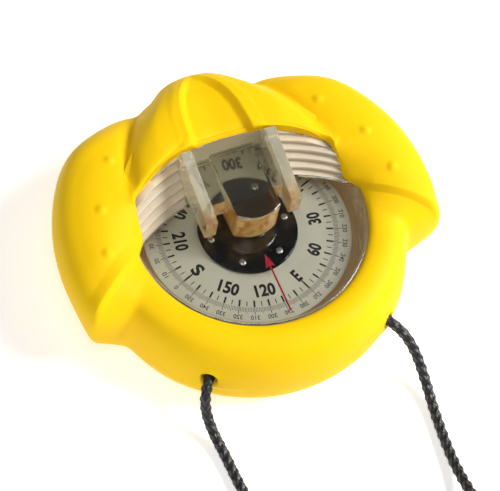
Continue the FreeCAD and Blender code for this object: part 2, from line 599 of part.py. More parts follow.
def inner_edge(angle):
    """The distance from the axis to the guard's inner edge."""
    turn = math.radians(angle)
    if turn <= 0:
        return OPENING
    (x0, y0), (x1, y1) = GRIP_INSIDE, GRIP_SIDE
    across, up = y1 - y0, x0 - x1
    side = (x0 * across + y0 * up) / (math.cos(turn) * across + math.sin(turn) * up)
    radius, centre = CREST_EDGE
    crest = centre * math.sin(turn)
    crest += math.sqrt(crest ** 2 + radius ** 2 - centre ** 2)
    return min(OPENING, side, crest)


def guard_outline(column):
    """The (radius, height) points of one column, between the keys beside it."""
    after = next(i for i, key in enumerate(GUARD_KEYS) if key[0] >= column)
    before = max(0, after - 1)
    (a, low_edge, low), (b, high_edge, high) = GUARD_KEYS[before], GUARD_KEYS[after]
    share = (column - a) / (b - a) if b > a else 0.0
    edge = low_edge + (high_edge - low_edge) * share
    inner = inner_edge(column_angle(column, inner_edge(max(0.0, column))))
    points = [(inner, INNER_LOW), (inner, edge - 1.0), (inner + 0.5, edge + 0.3)]
    points += [(p + (q - p) * share, h + (k - h) * share) for (p, h), (q, k) in zip(low, high)]
    return points


def guard_net():
    """The control net: one list of points for each column, all the way round."""
    right = []
    for column in GUARD_COLUMNS:
        ring = []
        for radius, height in guard_outline(column):
            turn = math.radians(column_angle(column, max(radius, 20.0)))
            ring.append(Vector(radius * math.cos(turn), radius * math.sin(turn), height))
        right.append(ring)
    left = [[Vector(-p.x, p.y, p.z) for p in ring] for ring in reversed(right[1:-1])]
    return right + left


def guard_blank():
    """The guard's outer form as a solid, before the capsule's cavity is cut from it."""
    net = guard_net()
    rows = len(net[0])
    skin = Part.BSplineSurface()
    around_knots = list(range(len(net) + 1))
    down_knots = list(range(rows - 2))
    skin.buildFromPolesMultsKnots(net, [1] * len(around_knots), [4] + [1] * (rows - 4) + [4],
                                  around_knots, down_knots, True, False, 3, 3)
    face = skin.toShape()
    rims = [edge for edge in face.Edges if edge.BoundBox.ZLength < 1e-6]
    lids = [Part.Face(Part.Wire([rim])) for rim in rims]
    shell = Part.makeShell([face] + lids)
    shell.sewShape()
    solid = Part.makeSolid(Part.Shell(shell.Faces))
    solid.fix(1e-4, 1e-4, 1e-4)
    if solid.Volume < 0:
        solid.reverse()
    blank = doc.addObject("Part::Feature", "guard_blank")
    blank.Shape = solid
    return blank


def guard_piece():
    """The soft rubber guard, with its capsule cavity, lanyard holes and knot pockets."""
    blank = guard_blank()
    tools = [
        cylinder("cavity", "guard_bore", "guard_floor", "window_top"),
        cylinder("underside_opening", "guard_opening", "-1", "guard_floor + 1"),
        cylinder("card_opening", "bowl_bore - 0.5", "window_top - 1", "window_top + 0.5"),
        ramp_solid("ramp_room", "0.12"),
    ]
    for side, way in (("left", -1), ("right", 1)):
        x = f"{way} * pocket_at * cos(hole_angle * 1 deg)"
        y = "-(pocket_at) * sin(hole_angle * 1 deg)"
        tools.append(ball(f"knot_pocket_{side}", "pocket_radius", "hole_height", x, y))
        hole = doc.addObject("Part::Cylinder", f"lanyard_hole_{side}")
        bind(hole, "Radius", "hole_radius")
        hole.Height = 14
        turn = -value("hole_angle") if way > 0 else value("hole_angle") - 180
        hole.Placement = FreeCAD.Placement(Vector(0, 0, 0), FreeCAD.Rotation(turn, 90, 0))
        for axis, text in (("x", x), ("y", y), ("z", "hole_height")):
            bind(hole, "Placement.Base." + axis, text)
        tools.append(hole)
    keep(without("guard", blank, joined("guard_tools", tools)), "rubber_guard")


# The lanyard's route, chosen by hand: out of a hole, over the edge and along the ground.
COIL_CENTRE = (7.0, -93.0)
COIL_TURN = 15.0
COIL_HALF = 4.1
COIL_LOW = 0.6
COIL_TALL = 7.8
LEFT_ROUTE = [(-20.6, -29.0, 11.6), (-24.2, -34.1, 11.2), (-25.1, -36.8, 6.4), (-24.6, -41.0, 2.6),
              (-23.8, -47.0, 1.4), (-23.5, -55.0, 1.4), (-22.6, -64.5, 1.4), (-18.6, -73.0, 1.4),
              (-12.2, -80.0, 1.5), (-8.8, -86.5, 1.7), (-8.0, -93.0, 1.95)]
RIGHT_ROUTE = [(20.6, -29.0, 11.6), (24.6, -34.6, 11.2), (27.0, -39.6, 7.4), (27.6, -45.6, 3.4),
               (26.9, -53.0, 1.4), (25.0, -62.0, 1.4), (22.9, -71.5, 1.4), (22.2, -82.0, 2.6),
               (22.0, -93.0, 4.3)]


def tube(node, route, radius):
    """A cord along straight runs joined by tangent arcs."""
    points = [Vector(*p) for p in route]
    edges, at, radii = [], points[0], []
    for i in range(1, len(points) - 1):
        back, ahead = points[i - 1] - points[i], points[i + 1] - points[i]
        shorter = min(back.Length, ahead.Length)
        half = (math.pi - back.getAngle(ahead)) / 2
        bend = 0.45 * shorter / math.tan(half)
        radii.append(bend)
        enter = points[i] + back.normalize() * (0.45 * shorter)
        leave = points[i] + ahead.normalize() * (0.45 * shorter)
        inward = (back + ahead).normalize()
        middle = points[i] + inward * (bend / math.cos(half) - bend)
        edges.append(Part.LineSegment(at, enter).toShape())
        edges.append(Part.Arc(enter, middle, leave).toShape())
        at = leave
    edges.append(Part.LineSegment(at, points[-1]).toShape())
    path = Part.Wire(edges)
    section = Part.Wire([Part.makeCircle(radius, points[0], points[1] - points[0])])
    made = doc.addObject("Part::Feature", node)
    made.Shape = path.makePipeShell([section], True, True)
    share = made.Shape.Volume / (math.pi * radius ** 2 * path.Length)
    print(f"{node}: {path.Length:.1f} mm, volume share {share:.4f}, radii",
          " ".join(f"{r:.1f}" for r in radii))
    return keep(made, node)


def lanyard_pieces():
    """The lanyard with its stopper knots, and its spare length in a tied coil."""
    radius = value("cord_radius")
    for side, route, way in (("left", LEFT_ROUTE, -1), ("right", RIGHT_ROUTE, 1)):
        tube(f"lanyard_{side}", route, radius)
        x = f"{way} * pocket_at * cos(hole_angle * 1 deg)"
        y = "-(pocket_at) * sin(hole_angle * 1 deg)"
        keep(ball(f"knot_{side}", "knot_radius", "hole_height", x, y), f"stopper_knot_{side}")
    x, y = (str(place) for place in COIL_CENTRE)
    outer = cylinder("coil_outer", str(COIL_TURN + COIL_HALF), str(COIL_LOW),
                     str(COIL_LOW + COIL_TALL), x, y)
    inner = cylinder("coil_inner", str(COIL_TURN - COIL_HALF), "0", "20", x, y)
    keep(without("coil", outer, inner), "lanyard_coil")
    mid = COIL_CENTRE[1] + COIL_TURN
    room, skin = COIL_HALF + 0.25, 0.5
    across = (f"{x} - 2", f"{x} + 2")
    band = box("tie_outer", across, (f"{mid - room - skin}", f"{mid + room + skin}"),
               ("0", f"{COIL_LOW + COIL_TALL + 0.1 + skin}"))
    hole = box("tie_inner", (f"{x} - 3", f"{x} + 3"), (f"{mid - room}", f"{mid + room}"),
               (f"{COIL_LOW - 0.1}", f"{COIL_LOW + COIL_TALL + 0.1}"))
    keep(without("tie", band, hole), "coil_tie")


card_pieces()
swing_pieces()
pivot_pieces()
bowl_pieces()
underside_pieces()
window_pieces()
prism_piece()
guard_piece()
lanyard_pieces()
doc.recompute()

for thing in doc.Objects:
    if "Invalid" in thing.State or "Error" in thing.State:
        raise RuntimeError(f"{thing.Name} is {thing.State}")
os.makedirs("parts", exist_ok=True)
for thing in parts:
    if thing.Shape.isNull() or not thing.Shape.isValid() or not thing.Shape.Solids:
        raise RuntimeError(f"{thing.Label} has no valid solid")
for thing in parts:
    thing.Shape.exportStep(f"parts/{thing.Label}.step")
    print(f"{thing.Label}: {len(thing.Shape.Solids)} solids, {thing.Shape.Volume:.1f} mm3")
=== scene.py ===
"""Looks of a handheld bearing compass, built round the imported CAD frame.

Metres, +Z up, +Y towards the sighting crest, -Y towards the user. Shapes are written in millimetres
and scaled by MM when a mesh is made.
"""
import math

import bmesh
import bpy
import numpy as np
from mathutils import Matrix, Vector


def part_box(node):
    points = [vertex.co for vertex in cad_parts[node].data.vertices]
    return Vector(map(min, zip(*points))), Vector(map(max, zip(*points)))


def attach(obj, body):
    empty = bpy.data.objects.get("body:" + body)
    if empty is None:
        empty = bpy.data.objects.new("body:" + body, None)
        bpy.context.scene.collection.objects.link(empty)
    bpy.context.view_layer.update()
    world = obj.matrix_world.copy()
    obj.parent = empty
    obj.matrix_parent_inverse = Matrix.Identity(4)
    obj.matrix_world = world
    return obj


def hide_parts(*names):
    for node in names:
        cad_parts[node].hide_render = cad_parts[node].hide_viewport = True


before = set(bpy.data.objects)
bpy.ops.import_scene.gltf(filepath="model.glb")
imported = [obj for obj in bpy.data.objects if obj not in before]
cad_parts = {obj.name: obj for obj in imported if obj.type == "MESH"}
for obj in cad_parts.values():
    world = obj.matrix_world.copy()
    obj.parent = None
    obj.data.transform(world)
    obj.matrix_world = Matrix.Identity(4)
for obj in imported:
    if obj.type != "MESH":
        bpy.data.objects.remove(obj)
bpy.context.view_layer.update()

MM = 0.001
TURN = 2 * math.pi
scene = bpy.context.scene
scene.view_settings.view_transform = "Standard"


def node_box(node):
    """Lowest and highest corner of a CAD node, in millimetres."""
    low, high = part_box(node)
    return Vector(low) / MM, Vector(high) / MM


# ---------------------------------------------------------------- camera and lights
AIM = Vector((0.0, 0.0, 0.020))
RIGHT = Vector((0.917, -0.383, 0.108))
UP = Vector((0.287, 0.824, 0.488))
BACK = RIGHT.cross(UP).normalized()
DISTANCE = 0.450
SHIFT = (0.0001, 0.0068)

lens = bpy.data.cameras.new("camera")
lens.sensor_width = 36.0
lens.lens = 138.5
lens.clip_start = 0.01
camera = bpy.data.objects.new("camera", lens)
scene.collection.objects.link(camera)
turn = Matrix((RIGHT, UP, BACK)).transposed().to_4x4()
standpoint = AIM + DISTANCE * BACK - SHIFT[0] * RIGHT - SHIFT[1] * UP
camera.matrix_world = Matrix.Translation(standpoint) @ turn
scene.camera = camera


def area_light(name, place, size, power):
    """A rectangular soft light that faces the compass."""
    light = bpy.data.lights.new(name, "AREA")
    light.shape = "RECTANGLE"
    light.size, light.size_y = size
    light.energy = power
    lamp = bpy.data.objects.new(name, light)
    lamp.location = place
    lamp.rotation_euler = (Vector((0, 0, 0.01)) - Vector(place)).to_track_quat("-Z", "Y").to_euler()
    scene.collection.objects.link(lamp)


area_light("key_light", (0.54, -0.14, 0.54), (0.30, 0.30), 6.8)
area_light("top_light", (-0.14, -0.16, 0.74), (0.30, 0.30), 1.2)
area_light("fill_light", (-0.30, -0.66, 0.34), (0.50, 0.30), 0.7)
world = bpy.data.worlds.new("studio")
world.use_nodes = True
world_nodes, world_links = world.node_tree.nodes, world.node_tree.links
sky_place = world_nodes.new("ShaderNodeTexCoord")
sky_split = world_nodes.new("ShaderNodeSeparateXYZ")
sky_ramp = world_nodes.new("ShaderNodeValToRGB")
sky_ramp.color_ramp.elements[0].position = 0.05
sky_ramp.color_ramp.elements[1].position = 0.80
sky_ramp.color_ramp.elements[0].color = (0.55, 0.55, 0.55, 1)
sky_ramp.color_ramp.elements[1].color = (0.06, 0.06, 0.06, 1)
world_links.new(sky_place.outputs["Generated"], sky_split.inputs["Vector"])
world_links.new(sky_split.outputs["Z"], sky_ramp.inputs["Fac"])
world_links.new(sky_ramp.outputs["Color"], world_nodes["Background"].inputs["Color"])
scene.world = world


# ---------------------------------------------------------------- materials
BUMP_DEPTH = 0.0001


def set_sockets(shader, sockets):
    """Sets constants on a shader's own sockets."""
    for socket, number in sockets.items():
        shader.inputs[socket].default_value = number


def spread_of(tree, socket, low, high, start=0.0, end=1.0):
    """A socket that goes from start to end as another goes from low to high."""
    node = tree.nodes.new("ShaderNodeMapRange")
    set_sockets(node, {"From Min": low, "From Max": high, "To Min": start, "To Max": end})
    tree.links.new(socket, node.inputs["Value"])
    return node.outputs["Result"]


def maths(tree, operation, *sockets):
    """One or two sockets through a maths node."""
    node = tree.nodes.new("ShaderNodeMath")
    node.operation = operation
    for socket, entry in zip(sockets, node.inputs):
        tree.links.new(socket, entry)
    return node.outputs["Value"]


def blend(tree, share, socket, colour):
    """A colour socket mixed towards a colour by a share socket."""
    node = tree.nodes.new("ShaderNodeMixRGB")
    tree.links.new(share, node.inputs["Fac"])
    tree.links.new(socket, node.inputs["Color1"])
    node.inputs["Color2"].default_value = (*colour, 1)
    return node.outputs["Color"]


def own_place(tree):
    """The object's own coordinates, split into X, Y and Z."""
    split = tree.nodes.new("ShaderNodeSeparateXYZ")
    tree.links.new(tree.nodes["Texture Coordinate"].outputs["Object"], split.inputs["Vector"])
    return split.outputs


def noise_of(tree, scale, detail, roughness):
    """Noise at the object's own scale."""
    node = tree.nodes.new("ShaderNodeTexNoise")
    set_sockets(node, {"Scale": scale, "Detail": detail, "Roughness": roughness})
    tree.links.new(tree.nodes["Texture Coordinate"].outputs["Object"], node.inputs["Vector"])
    return node.outputs["Fac"]


def base_of(tree):
    """The socket that feeds a material's base colour."""
    return tree.nodes["Principled BSDF"].inputs["Base Color"].links[0].from_socket


def look(name, light, dark, rough, blotch, grain, bump, **sockets):
    """A material whose colour, roughness and bump come from noise at the object's own scale."""
    material = bpy.data.materials.new(name)
    material.use_nodes = True
    tree = material.node_tree
    nodes, links = tree.nodes, tree.links
    shader = nodes["Principled BSDF"]
    nodes.new("ShaderNodeTexCoord")
    ramp = nodes.new("ShaderNodeValToRGB")
    for stop, position, colour in zip(ramp.color_ramp.elements, (0.32, 0.68), (dark, light)):
        stop.position, stop.color = position, (*colour, 1)
    links.new(noise_of(tree, blotch, 4.0, 0.6), ramp.inputs["Fac"])
    links.new(ramp.outputs["Color"], shader.inputs["Base Color"])
    wear = noise_of(tree, blotch * 2.7, 3.0, 0.55)
    links.new(spread_of(tree, wear, 0.3, 0.7, *rough), shader.inputs["Roughness"])
    relief = nodes.new("ShaderNodeBump")
    set_sockets(relief, {"Strength": bump, "Distance": BUMP_DEPTH})
    links.new(noise_of(tree, grain, 2.0, 0.5), relief.inputs["Height"])
    links.new(relief.outputs["Normal"], shader.inputs["Normal"])
    set_sockets(shader, sockets)
    return material


GLASS = {"Transmission Weight": 1.0, "IOR": 1.49}
METAL = {"Metallic": 1.0}
GUARD = look("guard_rubber", (0.985, 0.62, 0.002), (0.96, 0.59, 0.002), (0.50, 0.62), 55.0, 3800.0,
             0.10, **{"Subsurface Weight": 0.05, "Subsurface Scale": 0.0015,
                      "Subsurface Radius": (1.0, 0.6, 0.1), "Specular IOR Level": 0.12})
CLEAR = look("clear_window", (0.985, 0.985, 0.965), (0.97, 0.97, 0.945), (0.01, 0.04), 60.0, 900.0,
             0.01, **GLASS)
PRISM = look("clear_prism", (1.0, 0.985, 0.86), (1.0, 0.97, 0.83), (0.06, 0.12), 120.0, 900.0, 0.02,
             **GLASS)
RIBS = look("ribbed_plastic", (0.72, 0.62, 0.48), (0.62, 0.53, 0.40), (0.30, 0.45), 140.0, 3000.0,
            0.05, **{"Subsurface Weight": 0.15, "Subsurface Scale": 0.003})
# The amber bowl's faint emission is a painted glow. It stands in for bounced light on the bowl's
# shaded inner wall.
AMBER = look("amber_plastic_painted_glow", (0.80, 0.62, 0.36), (0.66, 0.50, 0.27), (0.18, 0.30), 110.0, 2200.0,
             0.04, **{"Subsurface Weight": 0.2, "Subsurface Scale": 0.003, "Coat Weight": 0.2,
                      "Emission Color": (0.80, 0.58, 0.30, 1.0), "Emission Strength": 0.07})
CARD = look("card_enamel", (0.80, 0.79, 0.65), (0.73, 0.715, 0.57), (0.40, 0.55), 120.0,
            3000.0, 0.03)
INK = look("printed_ink", (0.022, 0.022, 0.020), (0.010, 0.010, 0.010), (0.40, 0.60), 400.0,
           5000.0, 0.05)
FINE_INK = look("fine_ink", (0.09, 0.085, 0.065), (0.05, 0.045, 0.035), (0.45, 0.60), 400.0,
                5000.0, 0.05)
BLACK = look("black_plastic", (0.006, 0.006, 0.007), (0.003, 0.003, 0.004), (0.16, 0.26), 160.0,
             2400.0, 0.015, **{"Specular IOR Level": 0.35})
RED = look("red_enamel", (0.62, 0.012, 0.045), (0.50, 0.008, 0.03), (0.25, 0.40), 500.0,
           4000.0, 0.05)
STEEL = look("polished_steel", (0.62, 0.62, 0.64), (0.50, 0.50, 0.52), (0.18, 0.34), 300.0, 4000.0,
             0.08, **METAL)
BRASS = look("turned_brass", (0.72, 0.52, 0.22), (0.60, 0.42, 0.17), (0.22, 0.38), 300.0, 4000.0,
             0.08, **METAL)
MAGNET = look("sintered_magnet", (0.16, 0.16, 0.17), (0.09, 0.09, 0.10), (0.45, 0.65), 700.0,
              3000.0, 0.3, **METAL)
JEWEL = look("red_jewel", (0.55, 0.03, 0.07), (0.42, 0.02, 0.05), (0.03, 0.08), 600.0, 4000.0, 0.02,
             **{"Coat Weight": 0.8})
SEAL = look("black_rubber", (0.022, 0.022, 0.022), (0.012, 0.012, 0.012), (0.55, 0.75), 220.0,
            2600.0, 0.25)
CORD = look("braided_cord", (0.016, 0.016, 0.019), (0.004, 0.004, 0.005), (0.28, 0.42), 900.0,
            9000.0, 0.3)
FLOOR = look("pale_floor", (0.93, 0.93, 0.93), (0.90, 0.90, 0.90), (0.70, 0.85), 6.0, 400.0, 0.02,
             **{"Emission Color": (1.0, 1.0, 1.0, 1.0), "Emission Strength": 0.50})


RAIL_FROM, RAIL_TO = 0.0088, 0.0093
AMBER_FRONT, AMBER_TOP, AMBER_TIP = (0.0036, 0.0032), (0.0277, 0.0272), (0.0045, -0.0005)
TIP_SHARE, RAIL_MILK, AMBER_MILK = 0.55, (0.01, 0.27), 0.34
RAIL_TINT, BACK_TINT, AMBER_TINT = (1.0, 0.94, 0.74), (0.92, 0.85, 0.64), (0.93, 0.57, 0.17)
STREAK_TINT, STREAK_SCALE, STREAK_SPREAD = (0.70, 0.26, 0.03), 420.0, (0.47, 0.62)
UNDER_ROUGH, PRISM_ROUGH = 0.21, 0.05


def tint_prism(material):
    """Amber plastic at the prism's front, milky side rails and back, and a duller underside."""
    tree = material.node_tree
    shader = tree.nodes["Principled BSDF"]
    spot = own_place(tree)
    aside = maths(tree, "ABSOLUTE", spot["X"])
    rail = spread_of(tree, aside, RAIL_FROM, RAIL_TO)
    middle = spread_of(tree, aside, RAIL_TO, RAIL_FROM)
    back = spread_of(tree, spot["Y"], (BLOCK_BACK - 0.15) * MM, (BLOCK_BACK - 0.05) * MM)
    front = spread_of(tree, spot["Y"], *AMBER_FRONT)
    low = spread_of(tree, spot["Z"], *AMBER_TOP)
    tip = maths(tree, "MULTIPLY", rail, spread_of(tree, spot["Y"], *AMBER_TIP, 0.0, TIP_SHARE))
    nose = maths(tree, "MULTIPLY", maths(tree, "MULTIPLY", front, low), middle)
    amber = maths(tree, "MAXIMUM", nose, tip)
    streaks = spread_of(tree, noise_of(tree, STREAK_SCALE, 2.0, 0.5), *STREAK_SPREAD)
    streaks = maths(tree, "MULTIPLY", amber, streaks)
    colour = base_of(tree)
    for share, tint in ((rail, RAIL_TINT), (back, BACK_TINT), (amber, AMBER_TINT),
                        (streaks, STREAK_TINT)):
        colour = blend(tree, share, colour, tint)
    tree.links.new(colour, shader.inputs["Base Color"])
    milky = maths(tree, "MAXIMUM", spread_of(tree, rail, 0.0, 1.0, *RAIL_MILK), back)
    above = spread_of(tree, spot["Z"], (PRISM_LOW + 0.05) * MM, (PRISM_LOW + 0.20) * MM, 0.0,
                      AMBER_MILK)
    milky = maths(tree, "MAXIMUM", milky, maths(tree, "MULTIPLY", amber, above))
    tree.links.new(spread_of(tree, milky, 0.0, 1.0, 1.0, 0.0), shader.inputs["Transmission Weight"])
    under = spread_of(tree, spot["Z"], (PRISM_LOW + 0.02) * MM, (PRISM_LOW + 0.08) * MM,
                      UNDER_ROUGH, PRISM_ROUGH)
    tree.links.new(under, shader.inputs["Roughness"])


RAIL_OUT, RAIL_IN, RAIL_FRONT, RAIL_BACK = 12.1, 9.2, -1.5, 16.5
RAIL_LOW, RAIL_HIGH, TAB_HIGH, TAB_LONG = 25.1, 28.5, 29.2, 2.3
BLOCK_HALF, BLOCK_HIGH, BLOCK_BACK = 5.5, 28.0, 17.7
LEDGE_FRONT, LEDGE_LOW, LEDGE_HIGH = 3.3, 24.6, 27.2
PRISM_LOW, NOSE_RADIUS, NOSE_FRONT = 19.03, 9.0, -4.9
tint_prism(PRISM)


# ---------------------------------------------------------------- mesh helpers
def mesh_object(name, points, faces, material, smooth=35):
    """An object from millimetre points, with smooth shading up to an angle."""
    mesh = bpy.data.meshes.new(name)
    mesh.from_pydata([tuple(c * MM for c in p) for p in points], [], [tuple(f) for f in faces])
    mesh.validate()
    made = bmesh.new()
    made.from_mesh(mesh)
    bmesh.ops.recalc_face_normals(made, faces=made.faces)
    made.to_mesh(mesh)
    made.free()
    mesh.materials.append(material)
    mesh.shade_smooth()
    mesh.set_sharp_from_angle(angle=math.radians(smooth))
    piece = bpy.data.objects.new(name, mesh)
    scene.collection.objects.link(piece)
    return piece


def as_mesh(thing):
    """A plain mesh of an object as its curve or modifiers shape it."""
    bpy.context.view_layer.update()
    shaped = thing.evaluated_get(bpy.context.evaluated_depsgraph_get())
    return bpy.data.meshes.new_from_object(shaped)


def curve_mesh(curve):
    """Points and faces of a curve or text as a plain mesh."""
    holder = bpy.data.objects.new(curve.name, curve)
    scene.collection.objects.link(holder)
    mesh = as_mesh(holder)
    points = [tuple(v.co) for v in mesh.vertices]
    faces = [tuple(p.vertices) for p in mesh.polygons]
    bpy.data.objects.remove(holder)
    bpy.data.meshes.remove(mesh)
    return points, faces


def place(piece, body, slot, *replaced):
    """Puts a piece on its body, in place of CAD nodes. The slot argument is not used."""
    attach(piece, body)
    if replaced:
        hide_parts(*replaced)
    return piece


def softened(outline, radius, steps=3):
    """Rounds the corners of a closed outline of (across, up) points."""
    count = len(outline)
    rounded = []
    for i, (x, y) in enumerate(outline):
        corner = Vector((x, y))
        back = Vector(outline[i - 1]) - corner
        ahead = Vector(outline[(i + 1) % count]) - corner
        if x < 1e-6 or abs(back.normalized().dot(ahead.normalized())) > 0.995:
            rounded.append((x, y))
            continue
        start = corner + back.normalized() * min(radius, 0.45 * back.length)
        end = corner + ahead.normalized() * min(radius, 0.45 * ahead.length)
        for k in range(steps + 1):
            t = k / steps
            rounded.append(tuple(start * (1 - t) ** 2 + corner * 2 * t * (1 - t) + end * t ** 2))
    return rounded


def lathe(outline, segments, centre=(0.0, 0.0)):
    """Points and faces of a closed outline of (radius, height) turned about an upright axis."""
    points, faces, rings = [], [], []
    for radius, height in outline:
        if radius < 1e-6:
            rings.append([len(points)] * segments)
            points.append((centre[0], centre[1], height))
            continue
        rings.append(list(range(len(points), len(points) + segments)))
        for k in range(segments):
            turn = TURN * k / segments
            points.append((centre[0] + radius * math.cos(turn),
                           centre[1] + radius * math.sin(turn), height))
    for i in range(len(rings)):
        low, high = rings[i], rings[(i + 1) % len(rings)]
        if low[0] == low[1] and high[0] == high[1]:
            continue
        for k in range(segments):
            n = (k + 1) % segments
            corners = [low[k], low[n], high[n], high[k]]
            face = [c for j, c in enumerate(corners) if c not in corners[:j]]
            if len(face) > 2:
                faces.append(face)
    return points, faces


def merged(*shapes):
    """Several (points, faces) as one."""
    points, faces = [], []
    for more_points, more_faces in shapes:
        faces += [[i + len(points) for i in face] for face in more_faces]
        points += more_points
    return points, faces


def bar(start, end, width, low, high):
    """A thin upright-sided bar between two (x, y) points."""
    along = (Vector(end) - Vector(start)).normalized()
    side = Vector((-along.y, along.x)) * (width / 2)
    corners = [Vector(start) - side, Vector(end) - side, Vector(end) + side, Vector(start) + side]
    points = [(p.x, p.y, z) for z in (low, high) for p in corners]
    return points, strip_faces(2, 4)


def strip_faces(count, width, ring=False, way=1):
    """Faces between closed outlines in a row, capped or in a ring; way -1 turns the faces over."""
    faces = []
    for i in range(count if ring else count - 1):
        m = (i + 1) % count
        for k in range(width):
            n = (k + 1) % width
            start, *others = i * width + k, i * width + n, m * width + n, m * width + k
            faces.append((start, *others[::way]))
    if not ring:
        faces += [tuple(range(width))[::-way],
                  tuple(range((count - 1) * width, count * width))[::way]]
    return faces


# ---------------------------------------------------------------- lanyard
CORD_DIAMETER = 2.7
COIL_X, COIL_Y, COIL_RADIUS = 7.0, -93.0, 15.0
LEFT_ROUTE = [(-20.6, -29.0, 11.6), (-24.2, -34.1, 11.2), (-25.1, -36.8, 6.4), (-24.6, -41.0, 2.6),
              (-23.8, -47.0, 1.4), (-23.5, -55.0, 1.4), (-22.6, -64.5, 1.4), (-19.0, -73.0, 1.4),
              (-14.2, -80.5, 1.5), (-11.7, -87.0, 1.8)]
RIGHT_ROUTE = [(20.6, -29.0, 11.6), (24.6, -34.6, 11.2), (27.0, -39.6, 7.4), (27.6, -45.6, 3.4),
               (26.9, -53.0, 1.4), (25.8, -62.0, 1.4), (25.2, -70.0, 2.2), (25.0, -77.5, 4.6),
               (25.0, -85.5, 6.9)]
LAYERS = (1.95, 4.6, 7.25)
TRACKS = [(1, 0), (0, 0), (-1, 0), (-1, 1), (0, 1), (1, 1), (-1, 2), (0, 2), (1, 2)]
TURN_POINTS, COIL_TURNS, CORD_STEP = 16, 8.5, 0.34
COIL_SWAP, COIL_RISE, COIL_WAIT, COIL_SLIDE = 0.34, 0.14, 0.06, 0.28


def coil_points():
    """Eight and a half turns in three layers of three, from the coil's left side to its right."""
    points = []
    quadratic = 0.5 + 0.5 * math.cos(TURN / TURN_POINTS / 2)
    for k in range(int(COIL_TURNS * TURN_POINTS) + 1):
        turns = k / TURN_POINTS
        track = min(int(turns), len(TRACKS) - 1)
        across, layer = TRACKS[track]
        into = turns - track
        if track and into < COIL_SWAP:
            was_across, was_layer = TRACKS[track - 1]
            rise = min(1.0, into / COIL_RISE)
            slide = into / COIL_SWAP
            if layer != was_layer:
                slide = min(1.0, max(0.0, (into - COIL_WAIT) / COIL_SLIDE))
            across = was_across + (across - was_across) * slide
            height = LAYERS[was_layer] + (LAYERS[layer] - LAYERS[was_layer]) * rise
        else:
            height = LAYERS[layer]
        radius = (COIL_RADIUS + across * CORD_DIAMETER) / quadratic
        turn = math.pi + TURN * turns
        points.append((COIL_X + radius * math.cos(turn), COIL_Y + radius * math.sin(turn), height))
    return points


def cord_line():
    """The lanyard's line as points read from its NURBS."""
    route = LEFT_ROUTE + coil_points() + RIGHT_ROUTE[::-1]
    curve = bpy.data.curves.new("lanyard_line", "CURVE")
    curve.dimensions = "3D"
    curve.resolution_u = 24
    spline = curve.splines.new("NURBS")
    spline.points.add(len(route) - 1)
    for point, place_at in zip(spline.points, route):
        point.co = (*[c * MM for c in place_at], 1.0)
    spline.order_u = 3
    spline.use_endpoint_u = True
    return [Vector(point) / MM for point in curve_mesh(curve)[0]]


def evenly(points, step):
    """The same line with points a step apart."""
    line = np.array([tuple(p) for p in points])
    runs = np.linalg.norm(np.diff(line, axis=0), axis=1)
    keep = np.concatenate([[True], runs > 1e-6])
    line = line[keep]
    along = np.concatenate([[0], np.cumsum(np.linalg.norm(np.diff(line, axis=0), axis=1))])
    count = int(along[-1] / step) + 1
    wanted = np.linspace(0, along[-1], count)
    return np.stack([np.interp(wanted, along, line[:, i]) for i in range(3)], axis=1), wanted


BRAID_STRANDS, BRAID_PITCH, BRAID_AROUND = 4, 9.6, 36
BRAID_ROUND, BRAID_RISE, BRAID_DEPTH = 0.6, 0.38, 0.40


def braid_points(line, along, radius):
    """A tube round a line whose surface is a braid of strands that cross over and under."""
    tangents = np.gradient(line, axis=0)
    tangents /= np.linalg.norm(tangents, axis=1)[:, None]
    side = np.cross(tangents[0], (0, 0, 1.0))
    side /= np.linalg.norm(side)
    sides = []
    for tangent in tangents:
        side = side - tangent * side.dot(tangent)
        side /= np.linalg.norm(side)
        sides.append(side)
    sides = np.array(sides)
    ups = np.cross(tangents, sides)
    turn = np.linspace(0, TURN, BRAID_AROUND, endpoint=False)
    shift = along[:, None] / BRAID_PITCH * BRAID_STRANDS
    around_part = turn[None, :] / TURN * BRAID_STRANDS
    one, other = around_part + shift, around_part - shift
    rise_one = (-1.0) ** np.floor(one) * np.sin(math.pi * other)
    rise_other = -(-1.0) ** np.floor(other) * np.sin(math.pi * one)
    ridges = [np.abs(np.sin(math.pi * strand)) ** BRAID_ROUND * (1 - BRAID_RISE + BRAID_RISE * rise)
              for strand, rise in ((one, rise_one), (other, rise_other))]
    reach = radius * (1 - BRAID_DEPTH + BRAID_DEPTH * np.maximum(*ridges))
    ring = np.cos(turn)[None, :, None] * sides[:, None, :]
    ring = ring + np.sin(turn)[None, :, None] * ups[:, None, :]
    return line[:, None, :] + reach[:, :, None] * ring


cord_path, cord_along = evenly(cord_line(), CORD_STEP)
surface = braid_points(cord_path, cord_along, CORD_DIAMETER / 2)
lanyard = mesh_object("braided_lanyard", surface.reshape(-1, 3).tolist(),
                      strip_faces(len(cord_path), BRAID_AROUND), CORD, 60)
place(lanyard, "case", "cord", "lanyard_left", "lanyard_right", "lanyard_coil")


KNOT_TILTS = (0.0, 1.05, 2.1)
KNOT_CORD, KNOT_INSET = 1.2, 1.32


def knot(name, node):
    """A stopper knot: one lump of overlapping turns of cord."""
    low, high = node_box(node)
    centre, size = (low + high) / 2, (high.x - low.x) / 2
    shapes = []
    for tilt in KNOT_TILTS:
        points, rings, spokes = [], 40, 12
        for i in range(rings):
            turn = TURN * i / rings
            out = Vector((math.cos(turn), math.sin(turn) * math.cos(tilt),
                          math.sin(turn) * math.sin(tilt)))
            axis = Vector((0.0, -math.sin(tilt), math.cos(tilt)))
            for k in range(spokes):
                round_turn = TURN * k / spokes
                spot = out * (size - KNOT_INSET + KNOT_CORD * math.cos(round_turn))
                spot += axis * (KNOT_CORD * math.sin(round_turn))
                points.append(tuple(centre + spot))
        shapes.append((points, strip_faces(rings, spokes, True)))
    piece = mesh_object(name, *merged(*shapes), CORD, 60)
    return place(piece, "case", "cord", node)


knots = [knot("knot_left", "stopper_knot_left"), knot("knot_right", "stopper_knot_right")]


